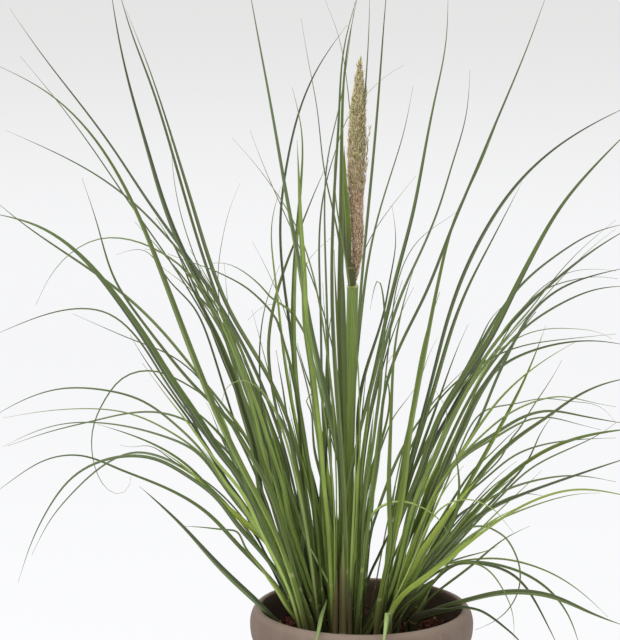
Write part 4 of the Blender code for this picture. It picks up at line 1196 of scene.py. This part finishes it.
# %% Rolled tubes
def grow_shoot(course, radii, sides, looks, ribs=14, roll=0.10):
    """A rolled sheath: radius times 1 + roll * share of the turn, with shallow ribs all round."""
    steps = len(course)
    along = np.linspace(0.0, 1.0, steps)
    ahead = unit(np.gradient(course, axis=0))
    aside = unit(np.cross(ahead, course - VIEW_EYE))
    away = np.cross(ahead, aside)
    turn = np.linspace(0.0, 2.0 * math.pi, sides, endpoint=False)
    share = (turn / (2.0 * math.pi) + looks["tint"]) % 1.0
    swell = 1.0 + roll * (share - 0.5) + 0.018 * np.cos(ribs * turn)
    radius = np.asarray(radii)[:, None] * swell[None, :]
    points = course[:, None] + radius[..., None] * (aside[:, None] * np.cos(turn)[None, :, None]
                                                    + away[:, None] * np.sin(turn)[None, :, None])
    travel = np.concatenate([[0.0], np.cumsum(np.linalg.norm(np.diff(course, axis=0), axis=1))])
    whole = np.ones((steps, sides))
    # across runs round the tube, so the finishes paint light on one side of a shoot or stalk and shade on
    # the other.
    numbers = {"along": along[:, None] * whole, "metres": travel[:, None] * whole,
               "across": (1.7 * share - 0.85)[None, :] * whole, "under": 0.0 * whole}
    numbers |= {key: value * whole for key, value in (PLAIN_LOOKS | looks).items()}
    return points, ring_faces(steps, sides), numbers


# %% [markdown]
# The shoots fill the crown between the leaves' feet. Three sheaths in front of the stalk's foot
# are purple-brown, so they have a finish of their own whose root paint runs further up.

# %% Shoots: width in columns, tone, lane, then the seen course
SHOOTS = (
    (10.0, 0.55, -2.5, ((304, 615), (280, 565), (266, 540), (256, 522))),
    (8.0, 0.30, 1.0, ((308, 615), (283, 560), (272, 535), (262, 510))),
    (9.0, 0.15, 3.0, ((310, 622), (292, 560), (283, 530))),
    (10.0, 0.70, -2.8, ((318, 615), (299, 555), (290, 520), (283, 490))),
    (12.0, 0.08, -1.0, ((326, 612), (310, 560), (301, 520), (297, 490))),
    (9.0, 0.20, 2.0, ((322, 612), (316, 560), (312, 520))),
    (10.0, 0.45, -1.8, ((334, 620), (332, 570), (332, 530), (334, 500))),
    (9.0, 0.35, 2.6, ((340, 620), (338, 560), (336, 500))),
    (11.0, 0.55, -2.2, ((353, 620), (353, 575), (354, 530))),
    (8.0, 0.60, -0.6, ((357, 615), (360, 570), (362, 530))),
    (8.0, 0.35, -1.6, ((379, 615), (386, 570), (391, 540))),
    (8.0, 0.55, 1.2, ((386, 615), (397, 570), (406, 530))),
    (9.0, 0.80, -2.4, ((393, 612), (412, 567), (424, 542))),
    (7.0, 0.75, -0.4, ((400, 617), (412, 590), (424, 567))),
    (4.4, 0.95, -0.6, ((409, 622), (417, 612.5), (426, 597), (433, 583))),
)
BROWN_SHEATHS = (
    (8.5, 0.30, -8.6, ((343, 629), (343, 592), (343, 560), (343, 535))),
    (6.5, 0.45, -8.2, ((335, 629), (336, 598), (337, 570))),
    (5.0, 0.20, -8.9, ((350, 629), (350, 604), (350, 580))),
)
SHOOT_STEPS = 26
SHOOT_SIDES = 28
draw = np.random.default_rng(21)
skins = []
for width, tone, lane, points in SHOOTS + BROWN_SHEATHS:
    course = seen_course(points, lane, SHOOT_STEPS)
    share = np.linspace(0.0, 1.0, SHOOT_STEPS)
    taper = (1.0 - 0.35 * share) * (1.0 - 0.85 * ease(share, 0.6, 1.0))
    looks = {"tone": tone, "warm": 0.2, "tint": 0.33 * draw.random()}
    skins.append(grow_shoot(course, width * COLUMN_SIZE / 2.0 * taper, SHOOT_SIDES, looks))
brown_skins = skins[len(SHOOTS):]
sheath_brown = leaf_finish("sheath_brown", paint(96, 76, 60), 0.200)
add_piece("shoots", *join(skins[:len(SHOOTS)]), leaf_olive, "leaf_olive")
add_piece("brown_sheaths", *join(brown_skins), sheath_brown, "leaf_olive")
print(len(SHOOTS), "shoots and", len(BROWN_SHEATHS), "brown sheaths")

# %% [markdown]
# The flowering stalk is wrapped in its leaf sheaths up to a pale collar, where the plume leaves
# it. It is streaked with green, lighter along one side as painted light, and purple-brown at its foot.

# %% Flowering stalk
STALK_STEPS = 90
STALK_SIDES = 48
middles, reach = solid_course("flower_stalk", 0.022)
stalk_course = smooth_course(rooted(middles), STALK_STEPS)
share = np.linspace(0.0, 1.0, STALK_STEPS)
stalk_radii = np.interp(share, np.linspace(0.0, 1.0, len(reach)), reach)
stalk_radii = stalk_radii * (1.0 + 0.08 * ease(share, 0.984, 0.990) - 0.5 * ease(share, 0.994, 1.0))


def stalk_finish():
    """Olive sheath: green streaks along it, paler along one side as painted light, purple-brown at the
    foot.
    """
    stalk = Finish("stalk_olive", Specular_IOR_Level=0.3)
    along, metres, across = (stalk.attribute(key) for key in ("along", "metres", "across"))
    streaks = stalk.cloud(stalk.vector(across * 9.0, metres * 3.0, 0.0), 1.0, 3.0)
    lines = stalk.cloud(stalk.vector(across * 34.0, metres * 9.0, 4.0), 1.0, 2.0)
    colour = stalk.blend(streaks.ramp(0.25, 0.75), paint(78, 98, 32), paint(128, 146, 66))
    # Painted light: one side of the stalk is made paler, as its lit side.
    colour = stalk.blend(across.ramp(0.1, 0.9) * 0.45, colour, paint(140, 158, 88))
    colour = stalk.shade(colour, 0.84 + 0.32 * lines)
    foot = (1.0 - along.ramp(0.05, 0.34)) * (0.55 + 0.45 * streaks)
    colour = stalk.blend(foot, colour, paint(94, 76, 56))
    collar = along.ramp(0.984, 0.988)
    colour = stalk.blend(collar * 0.8, colour, paint(186, 188, 124))
    return stalk.finish(Base_Color=colour, Roughness=0.45, Normal=stalk.relief(lines, 0.0005, 0.6))


skin = grow_shoot(stalk_course, stalk_radii, STALK_SIDES, {"tint": 0.62}, ribs=18, roll=0.13)
add_piece("flower_stalk_sheath", *skin, stalk_finish(), "leaf_olive", ["flower_stalk"])
print("stalk", round(float(stalk_course[-1, 2] - stalk_course[0, 2]), 3), "m tall")

# %% [markdown]
# ## The plume
# The young plume is still narrow. Its branchlets press close to the stem and carry thousands of
# slender spikelets with silky hairs between them, khaki above and pinkish below. One spindle of
# eight triangles is copied with array sums: thick for a spikelet, very thin for a hair.

# %% Spindles and their copies
SPINDLE = np.array([[0, 0, 0], [1, 0, 0.4], [0, 1, 0.4], [-1, 0, 0.4], [0, -1, 0.4], [0, 0, 1]], float)
SPINDLE_FACES = np.array([[0, 2, 1], [0, 3, 2], [0, 4, 3], [0, 1, 4],
                          [5, 1, 2], [5, 2, 3], [5, 3, 4], [5, 4, 1]])


def copies(corners, faces, places, frames):
    """Copies of a template: each place plus its own frame applied to the corners."""
    points = places[:, None] + np.einsum("nij,pj->npi", frames, corners)
    shifts = (np.arange(len(places)) * len(corners))[:, None, None]
    return points, (faces[None] + shifts).reshape(-1, faces.shape[1]).tolist()


def spindle_frames(directions, lengths, widths):
    """Frames whose third axis is the spindle's length, and whose first two are its half width."""
    side = unit(np.cross(directions, [0.31, 0.87, 0.22]))
    other = np.cross(directions, side)
    half = (widths / 2.0)[:, None]
    return np.stack([side * half, other * half, directions * lengths[:, None]], axis=2)


# %% Spindles about the plume's axis
def plume_copies(count, seed, course, reach, depth, splay, length, width, hair):
    """Spindles about the plume's axis, more where it is thick, leaning outwards by splay.

    depth, splay, length and width are (least, most) pairs: a share of the plume's radius,
    degrees, metres and metres.
    """
    random = np.random.default_rng(seed)
    steps = np.arange(len(course))
    at = np.interp(random.random(count), np.cumsum(reach) / reach.sum(), steps)
    middle = np.stack([np.interp(at, steps, course[:, axis]) for axis in range(3)], axis=1)
    radius = np.interp(at, steps, reach) * random.uniform(*depth, count)
    ahead = unit(np.gradient(course, axis=0))
    ahead = unit(np.stack([np.interp(at, steps, ahead[:, axis]) for axis in range(3)], axis=1))
    turn = random.uniform(0.0, 2.0 * math.pi, count)
    across = unit(np.cross(ahead, [0.0, 1.0, 0.0]))
    outward = across * np.cos(turn)[:, None] + np.cross(ahead, across) * np.sin(turn)[:, None]
    lean = np.radians(random.uniform(*splay, count))[:, None]
    directions = ahead * np.cos(lean) + outward * np.sin(lean)
    frames = spindle_frames(directions, random.uniform(*length, count), random.uniform(*width, count))
    points, faces = copies(SPINDLE, SPINDLE_FACES, middle + outward * radius[:, None], frames)
    whole = np.ones((count, len(SPINDLE)))
    numbers = {"along": (at / steps[-1])[:, None] * whole,
               "tint": random.random(count)[:, None] * whole, "hair": hair * whole}
    return points, faces, numbers


# %% Plume finish
def plume_finish():
    """Spikelets by height: pinkish brown below, khaki above, flecked dark; hairs are cream."""
    bloom = Finish("plume_tan", Specular_IOR_Level=0.2)
    along, tint, hair = (bloom.attribute(key) for key in ("along", "tint", "hair"))
    patches = bloom.cloud(bloom.place(), 60.0, 2.0)
    height = along + (patches - 0.5) * 0.5
    colour = bloom.blend(height.ramp(0.30, 0.62), paint(176, 138, 114), paint(150, 142, 92))
    colour = bloom.blend(tint.ramp(0.45, 0.9) * 0.75, colour, paint(196, 184, 144))
    colour = bloom.blend((1.0 - tint.ramp(0.10, 0.25)) * 0.5, colour, paint(118, 84, 66))
    colour = bloom.blend(hair * 0.85, colour, paint(224, 212, 184))
    return bloom.finish(Base_Color=colour, Roughness=0.85)


# %% [markdown]
# The plume is built up in three layers about its solid's course: a core that closes the view
# through it, spikelets, and hairs. Four sprigs stand off its outline, as they do on the plant.

# %% Plume: core, spikelets, hairs and sprigs
PLUME_STEPS = 60
SPRIG_STEPS = 20
SPRIG_REACH = 0.0021
SPRIG_DEPTH = -0.004
middles, reach = solid_course("plume", 0.010)
plume_course = smooth_course(middles, PLUME_STEPS)
plume_reach = np.interp(np.linspace(0, 1, PLUME_STEPS), np.linspace(0, 1, len(reach)), reach)
core = grow_shoot(plume_course, 0.70 * plume_reach, 20, {"tint": 0.3}, ribs=9, roll=0.0)
core[2]["hair"] = 0.0 * core[2]["tint"]
parts = [
    core[:2] + ({key: core[2][key] for key in ("along", "tint", "hair")},),
    plume_copies(4200, 3, plume_course, plume_reach, (0.50, 0.98), (6, 20), (0.005, 0.009),
                 (0.0009, 0.0016), 0.0),
    plume_copies(5200, 4, plume_course, plume_reach, (0.60, 0.98), (10, 34), (0.006, 0.011),
                 (0.0002, 0.00035), 1.0),
]
SPRIGS = (((358, 190), (361.5, 170), (366, 148), (370, 127)),
          ((359, 205), (363, 186), (366, 166), (367, 148)),
          ((358, 128), (362, 116), (365, 104), (366, 90)),
          ((351, 150), (351, 132), (352, 114), (353, 98)))
for number, points in enumerate(SPRIGS):
    columns, rows = np.array(points, float).T
    sprig = smooth_course(sight(columns, rows, np.full(len(rows), SPRIG_DEPTH)), SPRIG_STEPS)
    sprig_reach = SPRIG_REACH * np.sqrt(np.linspace(1.0, 0.05, SPRIG_STEPS))
    parts.append(plume_copies(110, 50 + number, sprig, sprig_reach, (0.2, 1.0), (4, 16),
                              (0.005, 0.009), (0.0008, 0.0013), 0.1))
add_piece("plume_spikelets", *join(parts), plume_finish(), "plume_tan", ["plume"])
print("plume", sum(len(part[1]) for part in parts), "faces")

# %% [markdown]
# ## Stage
# A pale floor that sweeps up behind the pot. The paper glows by itself, a little less with
# height, because a floor lit only by lamps bright enough for the leaves would burn out.

# %% Studio sweep
def sweep_points(across_count, along_count):
    """A studio sweep: flat floor, a quarter circle, then a wall, spread over its width."""
    floor_start, floor_end, bend, wall_top = -9.0, 4.2, 2.5, 9.0
    bend_start, wall_start = 0.4, 0.7
    share = np.linspace(0.0, 1.0, along_count)
    angle = np.clip((share - bend_start) / (wall_start - bend_start), 0.0, 1.0) * math.pi / 2
    flat = np.clip(share / bend_start, 0.0, 1.0)
    rise = np.clip((share - wall_start) / (1.0 - wall_start), 0.0, 1.0)
    y = floor_start + (floor_end - floor_start) * flat + bend * np.sin(angle)
    z = bend * (1.0 - np.cos(angle)) + (wall_top - bend) * rise
    x = np.linspace(-12.0, 12.0, across_count)
    grid = np.zeros((along_count, across_count, 3))
    grid[..., 0], grid[..., 1], grid[..., 2] = x[None, :], y[:, None], z[:, None]
    return grid


def sheet_faces(rows, columns):
    """Quads of an open grid."""
    corner = np.arange(rows - 1)[:, None] * columns + np.arange(columns - 1)[None, :]
    return np.stack([corner, corner + 1, corner + columns + 1, corner + columns],
                    axis=-1).reshape(-1, 4).tolist()


paper = Finish("studio_paper", Specular_IOR_Level=0.0, Base_Color=(0.15, 0.15, 0.15, 1.0),
               Emission_Strength=1.0)
height = paper.node("ShaderNodeSeparateXYZ", values={0: paper.place()}, output="Z")
glow = paper.blend(height.ramp(0.15, 1.35), (0.785, 0.787, 0.800, 1.0), (0.645, 0.643, 0.640, 1.0))
paper_material = paper.finish(Emission_Color=glow, Roughness=1.0)
SWEEP_COLUMNS, SWEEP_ROWS = 3, 81
mesh = bpy.data.meshes.new("studio_sweep")
mesh.from_pydata(sweep_points(SWEEP_COLUMNS, SWEEP_ROWS).reshape(-1, 3), [],
                 sheet_faces(SWEEP_ROWS, SWEEP_COLUMNS))
mesh.polygons.foreach_set("use_smooth", np.full(len(mesh.polygons), True))
mesh.materials.append(paper_material)
put_in_scene("studio_sweep", mesh)


# %% [markdown]
# Soft light from above and from the front left, and white surroundings that fill the shadows.

# %% Light and world
def soft_light(name, place, target, size, watts):
    """A square softbox that looks at a point."""
    lamp = bpy.data.lights.new(name, "AREA")
    lamp.size = size
    lamp.energy = watts
    box = put_in_scene(name, lamp)
    box.location = place
    box.rotation_euler = (Vector(target) - Vector(place)).to_track_quat("-Z", "Y").to_euler()


MIDDLE = (0.0, 0.0, 0.6)
soft_light("overhead", (-0.6, -0.9, 3.2), MIDDLE, 2.2, 60.0)
soft_light("front_left", (-2.6, -2.6, 1.8), MIDDLE, 1.8, 22.0)
world = bpy.data.worlds.new("white_room")
world.use_nodes = True
world.node_tree.nodes["Background"].inputs["Color"].default_value = (1.0, 1.0, 1.0, 1.0)
world.node_tree.nodes["Background"].inputs["Strength"].default_value = 0.85
bpy.context.scene.world = world
bpy.context.scene.view_settings.view_transform = "Standard"
